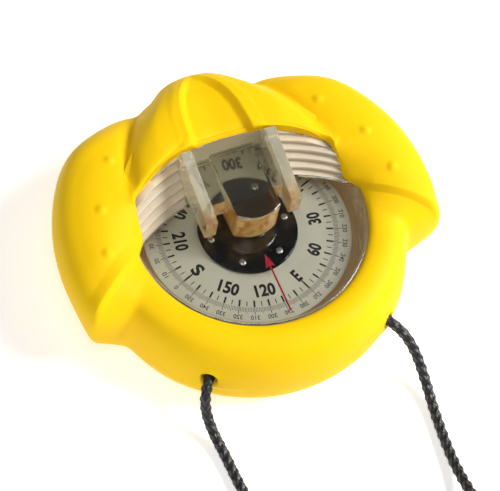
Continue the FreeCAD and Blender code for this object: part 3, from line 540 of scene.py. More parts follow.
def tie_piece():
    """The rubber band round the coil, with rounded edges."""
    low, high = node_box("coil_tie")
    wide, thick, inset = 2.0, 0.5, 1.6
    centre_y, half = (low.y + high.y) / 2, (high.y - low.y) / 2
    outline = []
    for y, z, turn in ((half, high.z, 0), (-half, high.z, 1), (-half, low.z, 2), (half, low.z, 3)):
        for k in range(7):
            angle = math.pi / 2 * (turn + k / 6)
            cy, cz = math.copysign(half - inset, y), (z - inset if z > 4 else z + inset)
            outline.append((cy, cz, math.cos(angle), math.sin(angle)))
    points = []
    section = [(-wide, 0), (-wide + 0.2, 0.12), (wide - 0.2, 0.12), (wide, 0), (wide, -thick + 0.1),
               (wide - 0.2, -thick), (-wide + 0.2, -thick), (-wide, -thick + 0.1)]
    for cy, cz, out_y, out_z in outline:
        for x, lift in section:
            reach = inset - 0.12 + lift
            points.append((COIL_X + x, centre_y + cy + reach * out_y, cz + reach * out_z))
    return mesh_object("coil_band", points, strip_faces(len(outline), len(section), True), SEAL, 50)


band = place(tie_piece(), "case", "black_plastic", "coil_tie")


# ---------------------------------------------------------------- rubber guard
RING = [(31.0, 20.7), (33.6, 20.5), (35.8, 19.5), (37.5, 17.3), (38.7, 14.4), (39.4, 11.0),
        (39.6, 7.0), (39.1, 3.0), (37.4, 0.0)]
GUARD_KEYS = [
    (-90.0, 19.6, RING),
    (-40.0, 19.6, RING),
    (-21.5, 19.8, [(31.0, 20.7), (33.6, 20.6), (35.8, 19.7), (37.2, 17.3), (37.9, 14.4),
                   (38.2, 11.0), (38.2, 7.0), (38.0, 3.0), (37.2, 0.0)]),
    (-10.3, 20.0, [(30.4, 21.9), (33.8, 23.2), (37.8, 23.4), (42.2, 22.4), (45.8, 19.9),
                   (46.8, 15.2), (46.6, 10.2), (44.4, 4.8), (37.6, 0.0)]),
    (0.0, 21.0, [(30.2, 23.5), (35.2, 25.0), (39.8, 24.4), (43.8, 22.4), (46.1, 18.8), (46.4, 14.0),
                 (45.2, 9.2), (41.8, 4.8), (37.3, 0.0)]),
    (17.0, 23.2, [(30.0, 24.8), (34.6, 25.7), (39.8, 25.2), (44.0, 23.2), (46.2, 19.4),
                  (46.6, 14.2), (45.0, 9.4), (41.0, 5.0), (37.3, 0.0)]),
    (34.0, 24.6, [(29.6, 24.6), (33.8, 24.8), (39.2, 24.4), (43.8, 22.6), (46.1, 18.8),
                  (46.4, 13.8), (45.0, 9.0), (40.6, 4.6), (37.3, 0.0)]),
    (46.0, 24.9, [(29.4, 24.2), (33.0, 23.8), (36.8, 23.0), (40.2, 20.6), (42.2, 17.2),
                  (43.0, 13.2), (42.2, 8.8), (39.8, 4.4), (37.3, 0.0)]),
    (53.8, 25.2, [(29.0, 24.0), (32.0, 23.0), (34.9, 21.8), (37.4, 19.8), (39.2, 16.8),
                  (40.0, 12.6), (39.8, 8.0), (38.8, 3.4), (37.2, 0.0)]),
    (62.0, 26.2, [(25.4, 26.8), (29.6, 26.0), (33.0, 24.6), (36.4, 22.6), (38.8, 19.8),
                  (39.8, 14.8), (39.4, 8.5), (38.4, 3.4), (37.2, 0.0)]),
    (72.0, 26.9, [(24.0, 27.8), (29.0, 27.4), (33.2, 26.4), (37.4, 24.4), (40.4, 20.8),
                  (40.8, 15.0), (40.0, 8.5), (38.6, 3.4), (37.2, 0.0)]),
    (81.5, 26.8, [(23.0, 27.8), (28.0, 27.6), (33.6, 26.8), (38.2, 24.7), (41.1, 20.9),
                  (41.1, 15.0), (40.2, 8.5), (38.6, 3.4), (37.2, 0.0)]),
    (90.0, 26.0, [(23.0, 26.8), (28.0, 26.5), (33.6, 26.1), (38.6, 24.7), (41.4, 20.8),
                  (41.3, 15.0), (40.4, 8.5), (38.6, 3.4), (37.2, 0.0)]),
]
GUARD_COLUMNS = [-90, -82, -74, -66, -58, -50, -42, -35, -29, -25, -21.5, -18, -15, -12, -10.3,
                 -8, -4, 0, 5, 11, 17, 24, 29, 34, 40, 46, 50, 53.8, 58, 62, 67, 72, 75, 78, 80,
                 81.5, 83, 85, 87.5, 90]
OPENING = 28.0
GRIP_NOTCH, GRIP_CORNER = (27.0, 0.5), (42.7, -11.7)
GRIP_INSIDE, GRIP_SIDE = (25.6, 1.5), (24.6, 13.2)
CREST_EDGE = (44.0, -25.0)
VALLEY_TURN, LIP_TURN = 4.0, 1.0
INNER_LOW = 14.0
WINDOW_TOP = 19.0
FLANGE_TOP = 2.4
CAVITY = 31.0
UNDER_EDGE, UNDER_OPENING = 36.0, 24.0


def eased(share):
    """A share from 0 to 1, with level ends."""
    return share * share * (3 - 2 * share)


def smooth(share):
    """Any number as an eased share."""
    return eased(min(1.0, max(0.0, share)))


def part_way(value, start, span, least=0):
    """How much of a span has been gone from its start, as a share of 1."""
    return np.clip((value - start) / span, least, 1)


def grip_end(radius):
    """The angle at which a grip's end crease crosses a circle."""
    (x0, y0), (x1, y1) = GRIP_NOTCH, GRIP_CORNER
    long = math.hypot(x1 - x0, y1 - y0)
    ux, uy = (x1 - x0) / long, (y1 - y0) / long
    along = x0 * ux + y0 * uy
    step = -along + math.sqrt(max(0.0, along ** 2 - x0 ** 2 - y0 ** 2 + radius ** 2))
    return math.degrees(math.atan2(y0 + uy * step, x0 + ux * step))


def valley(radius):
    """The angle of the valley between grip and crest on a circle."""
    start = math.degrees(math.atan2(GRIP_SIDE[1], GRIP_SIDE[0]))
    return min(68.0, start + VALLEY_TURN * max(0.0, radius - math.hypot(*GRIP_SIDE)))


def column_angle(column, radius):
    """The true angle of a net point: columns lean to follow the end crease and the valley."""
    end, dip = grip_end(36.0), 53.8
    near_end = smooth((column + 65) / (end + 65)) * smooth((25 - column) / (25 - end))
    near_dip = smooth((column - 12) / (dip - 12)) * smooth((90 - column) / (90 - dip))
    near_lip = smooth((column - dip) / (83 - dip)) * smooth((90 - column) / (90 - 83))
    lean = (grip_end(radius) - end) * near_end + (valley(radius) - dip) * near_dip
    return column + lean - LIP_TURN * max(0.0, 37.0 - radius) * near_lip


def inner_edge(angle):
    """The distance from the axis to the guard's inner edge."""
    turn = math.radians(angle)
    if turn <= 0:
        return OPENING
    (x0, y0), (x1, y1) = GRIP_INSIDE, GRIP_SIDE
    across, up = y1 - y0, x0 - x1
    side = (x0 * across + y0 * up) / (math.cos(turn) * across + math.sin(turn) * up)
    radius, centre = CREST_EDGE
    crest = centre * math.sin(turn)
    crest += math.sqrt(crest ** 2 + radius ** 2 - centre ** 2)
    return min(OPENING, side, crest)


def guard_outline(column):
    """The (radius, height) points of one column, between the keys beside it."""
    after = next(i for i, key in enumerate(GUARD_KEYS) if key[0] >= column)
    before = max(0, after - 1)
    (a, low_edge, low), (b, high_edge, high) = GUARD_KEYS[before], GUARD_KEYS[after]
    share = (column - a) / (b - a) if b > a else 0.0
    edge = low_edge + (high_edge - low_edge) * share
    inner = inner_edge(column_angle(column, inner_edge(max(0.0, column))))
    points = [(inner, INNER_LOW), (inner, edge - 1.0), (inner + 0.5, edge + 0.3)]
    points += [(p + (q - p) * share, h + (k - h) * share) for (p, h), (q, k) in zip(low, high)]
    return points + [(UNDER_EDGE, 0.0)]


def guard_net():
    """The control net, as an array of columns all the way round."""
    right = []
    for column in GUARD_COLUMNS:
        right.append([])
        for radius, height in guard_outline(column):
            turn = math.radians(column_angle(column, max(radius, 20.0)))
            right[-1].append((radius * math.cos(turn), radius * math.sin(turn), height))
    left = [[(-x, y, z) for x, y, z in ring] for ring in reversed(right[1:-1])]
    return np.array(right + left)


def clamped_weights(count, spots):
    """Weights of a cubic B-spline's poles, with its ends on the first and last pole."""
    knots = np.concatenate([[0] * 3, np.arange(count - 2), [count - 3] * 3]).astype(float)
    spots = np.clip(spots, 0, count - 3 - 1e-9)
    weights = np.zeros((len(spots), len(knots) - 1))
    for i in range(len(knots) - 1):
        weights[:, i] = (spots >= knots[i]) & (spots < knots[i + 1])
    for degree in (1, 2, 3):
        raised = np.zeros((len(spots), weights.shape[1] - 1))
        for i in range(raised.shape[1]):
            if knots[i + degree] > knots[i]:
                raised[:, i] += (spots - knots[i]) / (knots[i + degree] - knots[i]) * weights[:, i]
            if knots[i + degree + 1] > knots[i + 1]:
                raised[:, i] += ((knots[i + degree + 1] - spots)
                                 / (knots[i + degree + 1] - knots[i + 1]) * weights[:, i + 1])
        weights = raised
    return weights


def ring_weights(count, per_pole):
    """Weights of a cubic B-spline's poles on a closed ring, at even steps."""
    spots = np.arange(count * per_pole) / per_pole
    whole, part = spots.astype(int), spots % 1
    blend = np.stack([(1 - part) ** 3, 3 * part ** 3 - 6 * part ** 2 + 4,
                      -3 * part ** 3 + 3 * part ** 2 + 3 * part + 1, part ** 3], axis=1) / 6
    weights = np.zeros((len(spots), count))
    for j in range(4):
        np.add.at(weights, (np.arange(len(spots)), (whole + j - 1) % count), blend[:, j])
    return weights


RAMP_STEPS = 6
RAMP_FRONT, RAMP_BACK = (45.0, -34.7), (44.0, -25.0)
RAMP_TOP, RAMP_BASE, RAMP_LIP, RAMP_CROWN, RAMP_ROUND = 25.0, 17.2, 16.8, 102.0, 30.3
RAMP_RISE = (RAMP_TOP - RAMP_BASE) / RAMP_STEPS


def step_front(step, x):
    """Y of the front of one step of the ribbed reflector."""
    share = step / (RAMP_STEPS - 1)
    radius = RAMP_FRONT[0] + (RAMP_BACK[0] - RAMP_FRONT[0]) * share
    centre = RAMP_FRONT[1] + (RAMP_BACK[1] - RAMP_FRONT[1]) * share
    return centre + math.sqrt(radius ** 2 - x * x)


def crown(x):
    """Height that the reflector's top is crowned to."""
    return RAMP_TOP + 0.6 - RAMP_CROWN + math.sqrt(RAMP_CROWN ** 2 - x * x)


def ramp_height(x, y):
    """Height of the ribbed reflector at a place, or of the window where there is no reflector."""
    if abs(x) > RAMP_ROUND + 1:
        return WINDOW_TOP
    steps = sum(1 for i in range(RAMP_STEPS) if y > step_front(i, x))
    if not steps:
        return WINDOW_TOP
    return max(WINDOW_TOP, min(crown(x), RAMP_BASE + RAMP_RISE * steps))


HOLE_TURN, HOLE_HEIGHT, HOLE_RADIUS = math.radians(54.6), 11.6, 1.7
POCKET_AT, POCKET_RADIUS = 34.0, 3.3
DOTS = [(26.8, 22.8), (33.6, 10.3), (36.0, -0.5)]
DOT_RADIUS, DOT_HEIGHT = 1.75, 0.55
AROUND_STEPS, DOWN_ROWS = 9, 190


def guard_skin():
    """The guard's skin as a grid of points, from its inner edge over the top to the underside."""
    net = guard_net()
    columns = np.einsum("sc,crx->srx", ring_weights(len(net), AROUND_STEPS), net)
    rows = net.shape[1]
    tries = np.linspace(0, rows - 3, 900)
    tried = np.einsum("vr,srx->svx", clamped_weights(rows, tries), columns)
    reach = np.hypot(tried[..., 0], tried[..., 1])
    grid, lips = [], []
    for column, heights, radii in zip(columns, tried, reach):
        x, y = heights[0, 0], heights[0, 1]
        out = 1 + 0.35 / max(1.0, math.hypot(x, y))
        lip = ramp_height(x * out, y * out) + 0.04
        first = np.argmax(heights[:, 2] > lip)
        last = len(tries) - 1 - np.argmax(radii[::-1] > UNDER_OPENING + 0.4)
        wanted = tries[first] + (tries[last] - tries[first]) * np.linspace(0, 1, DOWN_ROWS)
        grid.append(clamped_weights(rows, wanted) @ column)
        lips.append(lip)
    return np.array(grid), lips


CREST_CREASE = [(25.5, 9.0), (24.4, 13.4), (23.2, 16.6), (21.6, 22.2), (19.8, 27.0), (17.3, 31.6),
                (14.4, 35.0), (13.2, 38.5)]
CREASE_DEPTH, CREASE_CREST, CREASE_GRIP = 0.18, 1.2, 3.0
FLANK_FOOT, FLANK_RISE, FLANK_RUN, FLANK_FALL, FLANK_BACK = 22.9, 4.7, 3.4, 0.055, 26.5
LIP_Y = (16.0, 19.5, 23.0, 27.0, 30.5, 33.5, 36.6, 39.0)
LIP_X = (8.1, 7.9, 7.6, 7.2, 6.4, 5.2, 3.2, 1.0)
EDGE_RISE, RIM_RISE = 0.55, 0.30
LUG_RISE, LUG_FRONT, LUG_LONG = 0.75, 2.6, 10.0
SCOOP_DEPTH, SCOOP_WALL, LIP_RISE, LIP_WIDE = 0.95, 1.7, 0.45, 3.2
SOFT_CORNER = 0.25
GRIP_EDGE = ((-12.0, 0.0, 34.0, 46.0, 53.8), (44.4, 44.3, 44.1, 41.2, 38.0))


def softly(away):
    """A distance whose corner at nought is rounded off."""
    return np.sqrt(away ** 2 + SOFT_CORNER ** 2) - SOFT_CORNER


def from_path(x, y, path):
    """Signed distance from a path of (x, y) points, more than nought on its right."""
    best = np.full(x.shape, 1e9)
    sided = np.zeros(x.shape)
    for (x0, y0), (x1, y1) in zip(path, path[1:]):
        dx, dy = x1 - x0, y1 - y0
        along = np.clip(((x - x0) * dx + (y - y0) * dy) / (dx * dx + dy * dy), 0, 1)
        away = np.hypot(x - x0 - along * dx, y - y0 - along * dy)
        side = np.sign((x - x0) * dy - (y - y0) * dx)
        sided = np.where(away < best, away * side, sided)
        best = np.minimum(best, away)
    return sided


def filled_flank(x, y, z):
    """Heights with the crest's flank rising straight from its foot."""
    inward = np.maximum(-from_path(x, y, CREST_CREASE), 0)
    flank = FLANK_FOOT + FLANK_RISE * (1 - np.exp(-inward / FLANK_RUN))
    flank -= FLANK_FALL * np.maximum(0, y - FLANK_BACK) ** 2
    share = part_way(z, 16.5, 3.0) * part_way(inward, 0, 0.9) * part_way(y, 10.5, 3.5)
    share *= part_way(x, 6.0, 4.0)
    return z + eased(share) * np.maximum(0, flank - z)


def crease_relief(x, y, z):
    """The right half's creases: the crest's foot, its lips and scoop, and the grip's edges."""
    upper = part_way(z, 15.0, 3.0)
    foot = from_path(x, y, CREST_CREASE)
    reach = np.where(foot < 0, CREASE_CREST, CREASE_GRIP)
    fading = part_way(y, 36.5, -5.0, 0.15) * part_way(z, 19.0, 3.0)
    lift = -CREASE_DEPTH * np.clip(1 - softly(foot) / reach, 0, 1) * fading
    inside = np.interp(y, LIP_Y, LIP_X) - x
    back = part_way(y, 39.5, -5.0) * (y > 10)
    scoop = np.clip((inside + softly(inside)) / 2 / SCOOP_WALL, 0, 1)
    lift -= SCOOP_DEPTH * scoop * back * upper
    lip = np.clip(1 - np.abs(np.minimum(inside, 0)) / LIP_WIDE, 0, 1)
    lift += LIP_RISE * lip * (1 - scoop) * back * upper
    (x0, y0), (x1, y1) = GRIP_NOTCH, GRIP_CORNER
    long = math.hypot(x1 - x0, y1 - y0)
    along = ((x - x0) * (x1 - x0) + (y - y0) * (y1 - y0)) / long
    ahead = ((x - x0) * (y1 - y0) - (y - y0) * (x1 - x0)) / long
    ends = part_way(along, 0.5, 4.0) * part_way(along, long + 1.5, -2.5) * upper
    edge = np.where(ahead < 0, np.clip(1 + ahead / 2.6, 0, 1), np.clip(1 - ahead, -EDGE_RISE, 1))
    far = 1 + EDGE_RISE
    edge = np.where(ahead > far, np.clip(-EDGE_RISE + (ahead - far) / 5.0, -EDGE_RISE, 0), edge)
    lift += EDGE_RISE * edge * ends
    turn = np.degrees(np.arctan2(y, x))
    rim = np.interp(turn, GRIP_EDGE[0], GRIP_EDGE[1])
    fade = part_way(turn, -14, 6.0) * part_way(turn, 56, -10.0) * upper
    lift += RIM_RISE * np.clip(1 - softly(np.hypot(x, y) - rim) / 3.2, 0, 1) * fade
    return lift


def with_relief(grid):
    """Raises the guard's creases, its grip dots and the lugs beside the lanyard holes."""
    grid = grid.copy()
    grid[..., 2] = filled_flank(np.abs(grid[..., 0]), grid[..., 1], grid[..., 2])
    x, y, z = grid[..., 0], grid[..., 1], grid[..., 2]
    across = np.roll(grid, -1, axis=0) - np.roll(grid, 1, axis=0)
    normals = np.cross(across, np.gradient(grid, axis=1))
    normals /= np.linalg.norm(normals, axis=2)[..., None] + 1e-12
    middle = grid.mean(axis=(0, 1))
    outward = grid - (0, 0, 8.0) - middle * (1, 1, 0)
    normals *= np.sign(np.einsum("srx,srx->sr", normals, outward).mean())
    lift = crease_relief(np.abs(x), y, z)
    for side in (-1, 1):
        for dot_x, dot_y in DOTS:
            share = np.clip(1 - np.hypot(x - side * dot_x, y - dot_y) / DOT_RADIUS, 0, 1)
            lift += np.where(z > 15, DOT_HEIGHT * eased(share), 0)
        from_hole = (-np.arctan2(y, side * x) - HOLE_TURN) * 39.0
        tall = np.clip(1 - np.abs(z - HOLE_HEIGHT + 0.6) / 3.6, 0, 1)
        start = part_way(from_hole, -LUG_FRONT, 1.6)
        taper = np.clip(1 - from_hole / LUG_LONG, 0, 1)
        lug = LUG_RISE * eased(start) * taper * np.minimum(1, tall * 2.2)
        beside = (np.hypot(x, y) > 35) & (from_hole > -LUG_FRONT) & (from_hole < LUG_LONG)
        lift += np.where(beside, lug, 0)
    inner = np.clip(np.arange(grid.shape[1]) / 8.0, 0, 1)[None, :]
    return grid + normals * (lift * inner)[..., None]


def guard_piece():
    """The guard: skin, underside and cavity in one closed mesh, with its lanyard holes bored."""
    grid, lips = guard_skin()
    grid = with_relief(grid)
    points, width = [], 0
    for ring, lip in zip(grid, lips):
        reach = math.hypot(ring[0, 0], ring[0, 1])
        under = math.hypot(ring[-1, 0], ring[-1, 1])
        top_way, low_way = ring[0, :2] / reach, ring[-1, :2] / under
        column = [tuple(p) for p in ring]
        for way, radius, height in (
                (low_way, UNDER_OPENING + 0.25, 0.0), (low_way, UNDER_OPENING, 0.25),
                (low_way, UNDER_OPENING, FLANGE_TOP - 0.2),
                (low_way, UNDER_OPENING + 0.2, FLANGE_TOP), (low_way, CAVITY, FLANGE_TOP),
                (top_way, CAVITY, lip), (top_way, reach + 0.15, lip)):
            column.append((way[0] * radius, way[1] * radius, height))
        width = len(column)
        points += column
    guard = mesh_object("soft_guard", points, strip_faces(len(grid), width, True), GUARD, 50)
    cutters = []
    for side in (-1, 1):
        x, y = side * math.cos(HOLE_TURN), -math.sin(HOLE_TURN)
        ball = np.linspace(-math.sqrt(POCKET_RADIUS ** 2 - 1.2 ** 2),
                           math.sqrt(POCKET_RADIUS ** 2 - HOLE_RADIUS ** 2), 19)
        shape = [(0.0, -4.0), (1.2, -4.0)]
        shape += [(math.sqrt(POCKET_RADIUS ** 2 - h * h), h) for h in ball]
        shape += [(HOLE_RADIUS, 4.4), (HOLE_RADIUS + 0.12, 4.9), (HOLE_RADIUS + 0.5, 5.5),
                  (HOLE_RADIUS + 1.2, 6.2), (HOLE_RADIUS + 1.2, 8.4), (0.0, 8.4)]
        cutter = mesh_object("hole_tool", *lathe(shape, 36), GUARD)
        spin = Vector((x, y, 0)).to_track_quat("Z", "Y").to_matrix().to_4x4()
        centre = Vector((POCKET_AT * x, POCKET_AT * y, HOLE_HEIGHT)) * MM
        cutter.matrix_world = Matrix.Translation(centre) @ spin
        cutters.append(cutter)
        cut = guard.modifiers.new("hole", "BOOLEAN")
        cut.operation, cut.object, cut.solver = "DIFFERENCE", cutter, "MANIFOLD"
    shaped = as_mesh(guard)
    guard.modifiers.clear()
    guard.data = shaped
    shaped.name = "soft_guard"
    for cutter in cutters:
        bpy.data.objects.remove(cutter)
    return guard


guard = place(guard_piece(), "case", "guard", "rubber_guard")


# ---------------------------------------------------------------- capsule
# The dark groove colour is painted shade at the foot of each reflector step, where the creases
# would be in shadow.
PAINTED_GROOVE_SHADE, LIP_TINT = (0.18, 0.155, 0.125), (0.66, 0.36, 0.055)
GROOVE_SPREAD, GROOVE_SHARE = (0.62, 0.18), 0.62
LIP_UNDER, LIP_BESIDE = (0.0176, 0.0174), (0.0121, 0.0124)


def shade_grooves(material, low, rise):
    """Paints shade on each step, darker towards its foot, and makes the outer ends of the piece's
    lip amber.
    """
    tree = material.node_tree
    spot = own_place(tree)
    steps = spread_of(tree, spot["Z"], low * MM, (low + rise) * MM)
    steps.node.clamp = False
    foot = spread_of(tree, maths(tree, "FRACT", steps), *GROOVE_SPREAD, 0.0, GROOVE_SHARE)
    aside = maths(tree, "ABSOLUTE", spot["X"])
    lip = maths(tree, "MULTIPLY", spread_of(tree, spot["Z"], *LIP_UNDER),
                spread_of(tree, aside, *LIP_BESIDE))
    colour = blend(tree, foot, base_of(tree), PAINTED_GROOVE_SHADE)
    colour = blend(tree, lip, colour, LIP_TINT)
    tree.links.new(colour, tree.nodes["Principled BSDF"].inputs["Base Color"])


BED_HALF, BED_BACK = 12.25, 16.65
shade_grooves(RIBS, RAMP_BASE, RAMP_RISE)


def ribbed_piece():
    """The stepped, ribbed reflector behind the card, with a bed for the prism."""
    spots = {round(v, 3) for v in np.linspace(-30.0, 30.0, 161)} | {-BED_HALF, BED_HALF}
    columns = [(x, inside) for x in sorted(spots) for inside in
               ([abs(x) < BED_HALF] if abs(abs(x) - BED_HALF) > 1e-6 else [x > 0, x < 0])]
    nose, groove = 0.22, 0.30
    points, width = [], 0
    for x, inside in columns:
        back = math.sqrt(RAMP_ROUND ** 2 - x * x)
        top = crown(x)
        column = [(back, RAMP_LIP)]
        fronts = [min(step_front(i, x), back - 0.05) for i in range(RAMP_STEPS)]
        if inside:
            bed = BLOCK_BACK + 0.1 if abs(x) < RAIL_IN else BED_BACK
            fronts = [max(front, bed) for front in fronts]
        column.append((fronts[0], RAMP_LIP))
        for i, front in enumerate(fronts):
            low = min(top, RAMP_BASE + RAMP_RISE * i)
            high = min(top, RAMP_BASE + RAMP_RISE * (i + 1))
            rise = high - low
            column += [(front + (groove if i else 0.0) * 0.3, low + 0.02 * rise),
                       (front, low + 0.30 * rise), (front, high - min(nose, 0.45 * rise)),
                       (front + 0.06, high - 0.3 * min(nose, 0.45 * rise)), (front + nose, high)]
            if i + 1 < RAMP_STEPS:
                ahead = max(fronts[i + 1] - 0.25, front + nose)
                column += [(ahead, high - 0.10 * rise),
                           (max(fronts[i + 1] - 0.02, ahead), high - 0.16 * rise)]
        column.append((back, min(top, RAMP_TOP)))
        width = len(column)
        points += [(x, y, z) for y, z in column]
    return mesh_object("ribbed_wall", points, strip_faces(len(columns), width, way=-1), RIBS, 35)


place(ribbed_piece(), "case", "reflector", "ribbed_reflector")


def window_piece():
    """The clear window: a disc with a raised bead at its rim, open behind for the reflector."""
    rim, spokes, front_gap = 30.3, 220, 0.04
    outline = []
    for k in range(spokes):
        turn = TURN * k / spokes
        x, y = rim * math.cos(turn), rim * math.sin(turn)
        limit = step_front(0, x) - front_gap if abs(x) > BED_HALF - 0.05 else BED_BACK - 0.05
        outline.append((x, min(y, limit), float(y < limit)))
    levels = [(1.0, 17.25), (0.999, 18.95), (0.985, 19.0), (0.9225, 19.0), (0.9205, 19.16),
              (0.915, 19.24), (0.905, 19.24), (0.8995, 19.16), (0.897, 19.0), (0.60, 19.0)]
    points = [(x * factor, y * factor,
               WINDOW_TOP + (height - WINDOW_TOP) * (free if height > WINDOW_TOP else 1.0))
              for factor, height in levels for x, y, free in outline]
    return mesh_object("window_pane", points, strip_faces(len(levels), spokes), CLEAR, 30)


place(window_piece(), "case", "clear", "capsule_window")

bowl_profile = softened([(30.7, 2.5), (30.7, 17.2), (27.5, 17.2), (27.5, 6.6), (2.2, 6.6),
                         (2.2, 5.0), (28.5, 5.0), (28.5, 2.5)], 0.35)
place(mesh_object("amber_bowl", *lathe(bowl_profile, 180), AMBER), "case", "bowl", "capsule_bowl")


# ---------------------------------------------------------------- prism
def lens_front(x):
    """Y of the lens face."""
    return NOSE_FRONT + NOSE_RADIUS - math.sqrt(NOSE_RADIUS ** 2 - x * x)


def prism_lane(front, back, tops):
    """One lane's outline: its front, its top line through some (y, z) points, and its back."""
    low, high = tops[0][1], tops[-1][1]
    lane = [(front + 0.12, PRISM_LOW), (front, PRISM_LOW + 0.12)]
    lane += [(front, PRISM_LOW + (low - 0.25 - PRISM_LOW) * t) for t in (0.35, 0.7, 1.0)]
    lane += [(front + 0.08, low - 0.08)] + tops
    return lane + [(back, high - 0.25), (back, PRISM_LOW + 0.12), (back - 0.12, PRISM_LOW)]


def rail_lane(drop, pull):
    """A side rail's lane: a sloping top with a tab at its back end."""
    front, back, bend = RAIL_FRONT + pull, RAIL_BACK - pull, RAIL_BACK - TAB_LONG
    tops = [(front + 0.3, RAIL_LOW), ((RAIL_FRONT + bend) / 2, (RAIL_LOW + RAIL_HIGH) / 2),
            (bend - 0.35, RAIL_HIGH), (bend - 0.1, TAB_HIGH - 0.2), (bend + 0.1, TAB_HIGH),
            (back - 0.25, TAB_HIGH)]
    return prism_lane(front, back, [(y, z - drop) for y, z in tops])


def sloping_lane(front, low, high):
    """A lane whose top goes straight from one height to another."""
    tops = [(front + 0.3 + (BLOCK_BACK - 0.6 - front) * t, low + (high - low) * t)
            for t in (0, 0.2, 0.4, 0.6, 0.8, 1.0)]
    return prism_lane(front, BLOCK_BACK, tops)


def block_lane(x, drop=0.0, pull=0.0):
    """A lane of the middle block, behind its lens face."""
    return sloping_lane(lens_front(x) + pull, BLOCK_HIGH - drop, BLOCK_HIGH - drop)


def prism_piece():
    """The sighting prism: a block with a lens face, ledges and side rails, in one closed mesh."""
    ledge = sloping_lane(LEDGE_FRONT, LEDGE_LOW, LEDGE_HIGH)
    rounding = [(0.0, 0.25, 0.2), (0.07, 0.08, 0.06), (0.25, 0, 0)]
    lanes = [(RAIL_OUT - inset, rail_lane(drop, pull)) for inset, drop, pull in rounding]
    lanes += [(RAIL_IN + inset, rail_lane(drop, pull)) for inset, drop, pull in rounding[::-1]]
    lanes += [(RAIL_IN - 0.05, ledge), (BLOCK_HALF + 0.05, ledge),
              (BLOCK_HALF, block_lane(BLOCK_HALF, 0.25, 0.2)),
              (BLOCK_HALF - 0.07, block_lane(BLOCK_HALF, 0.08, 0.06)),
              (BLOCK_HALF - 0.25, block_lane(BLOCK_HALF - 0.25))]
    middle = [(x, block_lane(x)) for x in np.linspace(BLOCK_HALF - 0.5, -BLOCK_HALF + 0.5, 23)]
    every = lanes + middle + [(-x, lane) for x, lane in reversed(lanes)]
    points = [(x, y, z) for x, lane in every for y, z in lane]
    faces = strip_faces(len(every), len(ledge), way=-1)
    return mesh_object("sighting_prism", points, faces, PRISM, 18)


place(prism_piece(), "case", "prism", "prism")


# ---------------------------------------------------------------- card
CARD_FACE, CARD_RADIUS = 13.0, 25.0
INK_LOW, INK_HIGH = CARD_FACE - 0.01, CARD_FACE + 0.03
NORTH_TURN = 22.0
RIVETS_AT = 9.4


def lettering(text, height, letter_width, weight, mirrored=False):
    """Flat letters of the built-in font as points and faces, centred, of a given size."""
    curve = bpy.data.curves.new("letters", "FONT")
    curve.body = text
    curve.offset = weight
    curve.extrude = 0.05
    curve.resolution_u = 3
    points, faces = curve_mesh(curve)
    spots = np.array(points)
    low, high = spots.min(axis=0), spots.max(axis=0)
    middle, size = (low + high) / 2, high - low
    wide = letter_width * len(text) * (0.6 if text in ("E", "1") else 1.0)
    scale = np.array([wide / size[0], height / size[1], 1.0])
    flat = (spots - middle) * scale
    if mirrored:
        flat[:, 0] *= -1
    flat[:, 2] = np.where(spots[:, 2] > middle[2], INK_HIGH, INK_LOW)
    return flat, faces


def turned_to(flat, degrees, radius):
    """Letters set on a circle with their tops towards the centre."""
    turn, place_turn = math.radians(degrees + 90), math.radians(degrees)
    x = flat[:, 0] * math.cos(turn) - flat[:, 1] * math.sin(turn) + radius * math.cos(place_turn)
    y = flat[:, 0] * math.sin(turn) + flat[:, 1] * math.cos(turn) + radius * math.sin(place_turn)
    return np.stack([x, y, flat[:, 2]], axis=1).tolist()


def mark(degrees, inner, outer, width):
    """One radial mark on the card."""
    turn = math.radians(degrees)
    way = Vector((math.cos(turn), math.sin(turn)))
    return bar(way * inner, way * outer, width, INK_LOW, INK_HIGH)


def card_print():
    """The bold marks and figures, then the fine ones."""
    bold, fine = [], []
    for n in range(0, 360, 30):
        text = {0: "N", 90: "E", 180: "S", 270: "W"}.get(n, str(n))
        flat, faces = lettering(text, 3.3, 1.62 if len(text) > 1 else 2.3, 0.038)
        bold.append((turned_to(flat, NORTH_TURN - n, 16.4), faces))
    for n in range(0, 360, 5):
        wide, outer, inner = (0.42, 20.6, 18.9) if n % 10 == 0 else (0.20, 20.4, 19.2)
        bold.append(mark(NORTH_TURN - n, inner, outer, wide))
    for n in range(0, 360, 90):
        bold.append(mark(NORTH_TURN - n, 18.1, 20.8, 0.34))
    for n in range(0, 360, 10):
        flat, faces = lettering(str(n), 1.15, 0.72, 0.012, True)
        fine.append((turned_to(flat, NORTH_TURN + 180 - n, 23.35), faces))
        fine.append(mark(NORTH_TURN + 180 - n, 20.7, 22.5, 0.16))
    for n in range(360):
        fine.append(mark(NORTH_TURN - n, 20.7, 22.2 if n % 5 == 0 else 21.9, 0.10))
    return merged(*bold), merged(*fine)


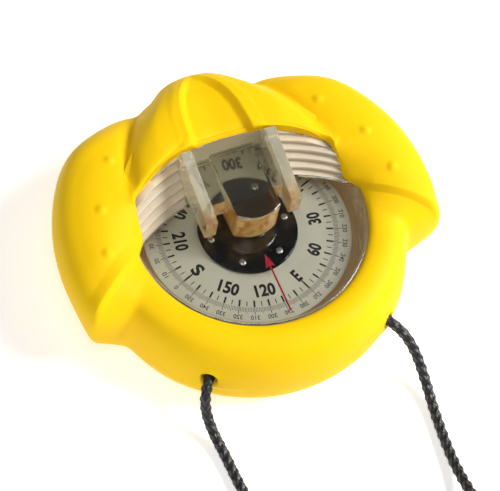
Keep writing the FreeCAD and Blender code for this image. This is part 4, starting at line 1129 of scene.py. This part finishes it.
bold_print, fine_print = card_print()
place(mesh_object("card_figures", *bold_print, INK, 20), "card", "card")
place(mesh_object("card_degrees", *fine_print, FINE_INK, 20), "card", "card")
card_profile = softened([(5.2, 12.2), (CARD_RADIUS, 12.2), (CARD_RADIUS, CARD_FACE),
                         (5.2, CARD_FACE)], 0.2)
place(mesh_object("card_disc", *lathe(card_profile, 192), CARD), "card", "card", "compass_card")
float_profile = softened([(2.65, 12.3), (5.2, 12.3), (5.2, CARD_FACE), (12.0, CARD_FACE),
                          (12.0, 13.9), (6.6, 13.95), (4.4, 16.3), (0.0, 16.6), (0.0, 16.05),
                          (2.65, 16.05)], 0.5, 5)
place(mesh_object("black_float", *lathe(float_profile, 128), BLACK), "card", "black_plastic",
      "card_float")


def rivets_piece():
    """Six domed rivet heads with their shanks."""
    profile = softened([(0.0, 12.2), (0.55, 12.2), (0.55, 13.85), (0.85, 13.85), (0.85, 14.02),
                        (0.5, 14.2), (0.0, 14.22)], 0.12)
    turns = [TURN * k / 6 for k in range(6)]
    heads = [lathe(profile, 24, (RIVETS_AT * math.cos(turn), RIVETS_AT * math.sin(turn)))
             for turn in turns]
    return mesh_object("rivet_heads", *merged(*heads), STEEL)


place(rivets_piece(), "card", "steel", "float_rivets")


def arrow_piece():
    """The red lubber arrow under the window."""
    low, high = node_box("lubber_arrow")
    stem = [(-0.20, low.y), (0.20, low.y), (0.20, high.y - 3.1), (1.15, high.y - 3.5),
            (0.0, high.y), (-1.15, high.y - 3.5), (-0.20, high.y - 3.1)]
    points = [(x, y, z) for z in (low.z + 0.02, high.z) for x, y in stem]
    return mesh_object("red_arrow", points, strip_faces(2, len(stem)), RED, 20)


place(arrow_piece(), "case", "arrow", "lubber_arrow")

# ---------------------------------------------------------------- nodes that keep their CAD shape
KEPT = {SEAL: ("bowl_seal", "expansion_diaphragm", "filler_washer"),
        BRASS: ("pivot_post", "filler_plug", "jewel_holder", "magnet_carrier"),
        STEEL: ("pivot_pin", "diaphragm_screws", "base_cover_screws"),
        BLACK: ("diaphragm_ring", "base_cover"), JEWEL: ("jewel_bearing",),
        MAGNET: ("magnet_left", "magnet_right")}
for material, nodes in KEPT.items():
    for node in nodes:
        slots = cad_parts[node].data.materials
        slots.clear()
        slots.append(material)

# ---------------------------------------------------------------- floor
FLOOR_HALF, FLOOR_HEIGHT = 2, -0.0001
floor_mesh = bpy.data.meshes.new("floor")
floor_mesh.from_pydata([(x * FLOOR_HALF, y * FLOOR_HALF, FLOOR_HEIGHT)
                        for x, y in ((-1, -1), (1, -1), (1, 1), (-1, 1))], [], [(0, 1, 2, 3)])
floor_mesh.materials.append(FLOOR)
floor = bpy.data.objects.new("floor", floor_mesh)
scene.collection.objects.link(floor)
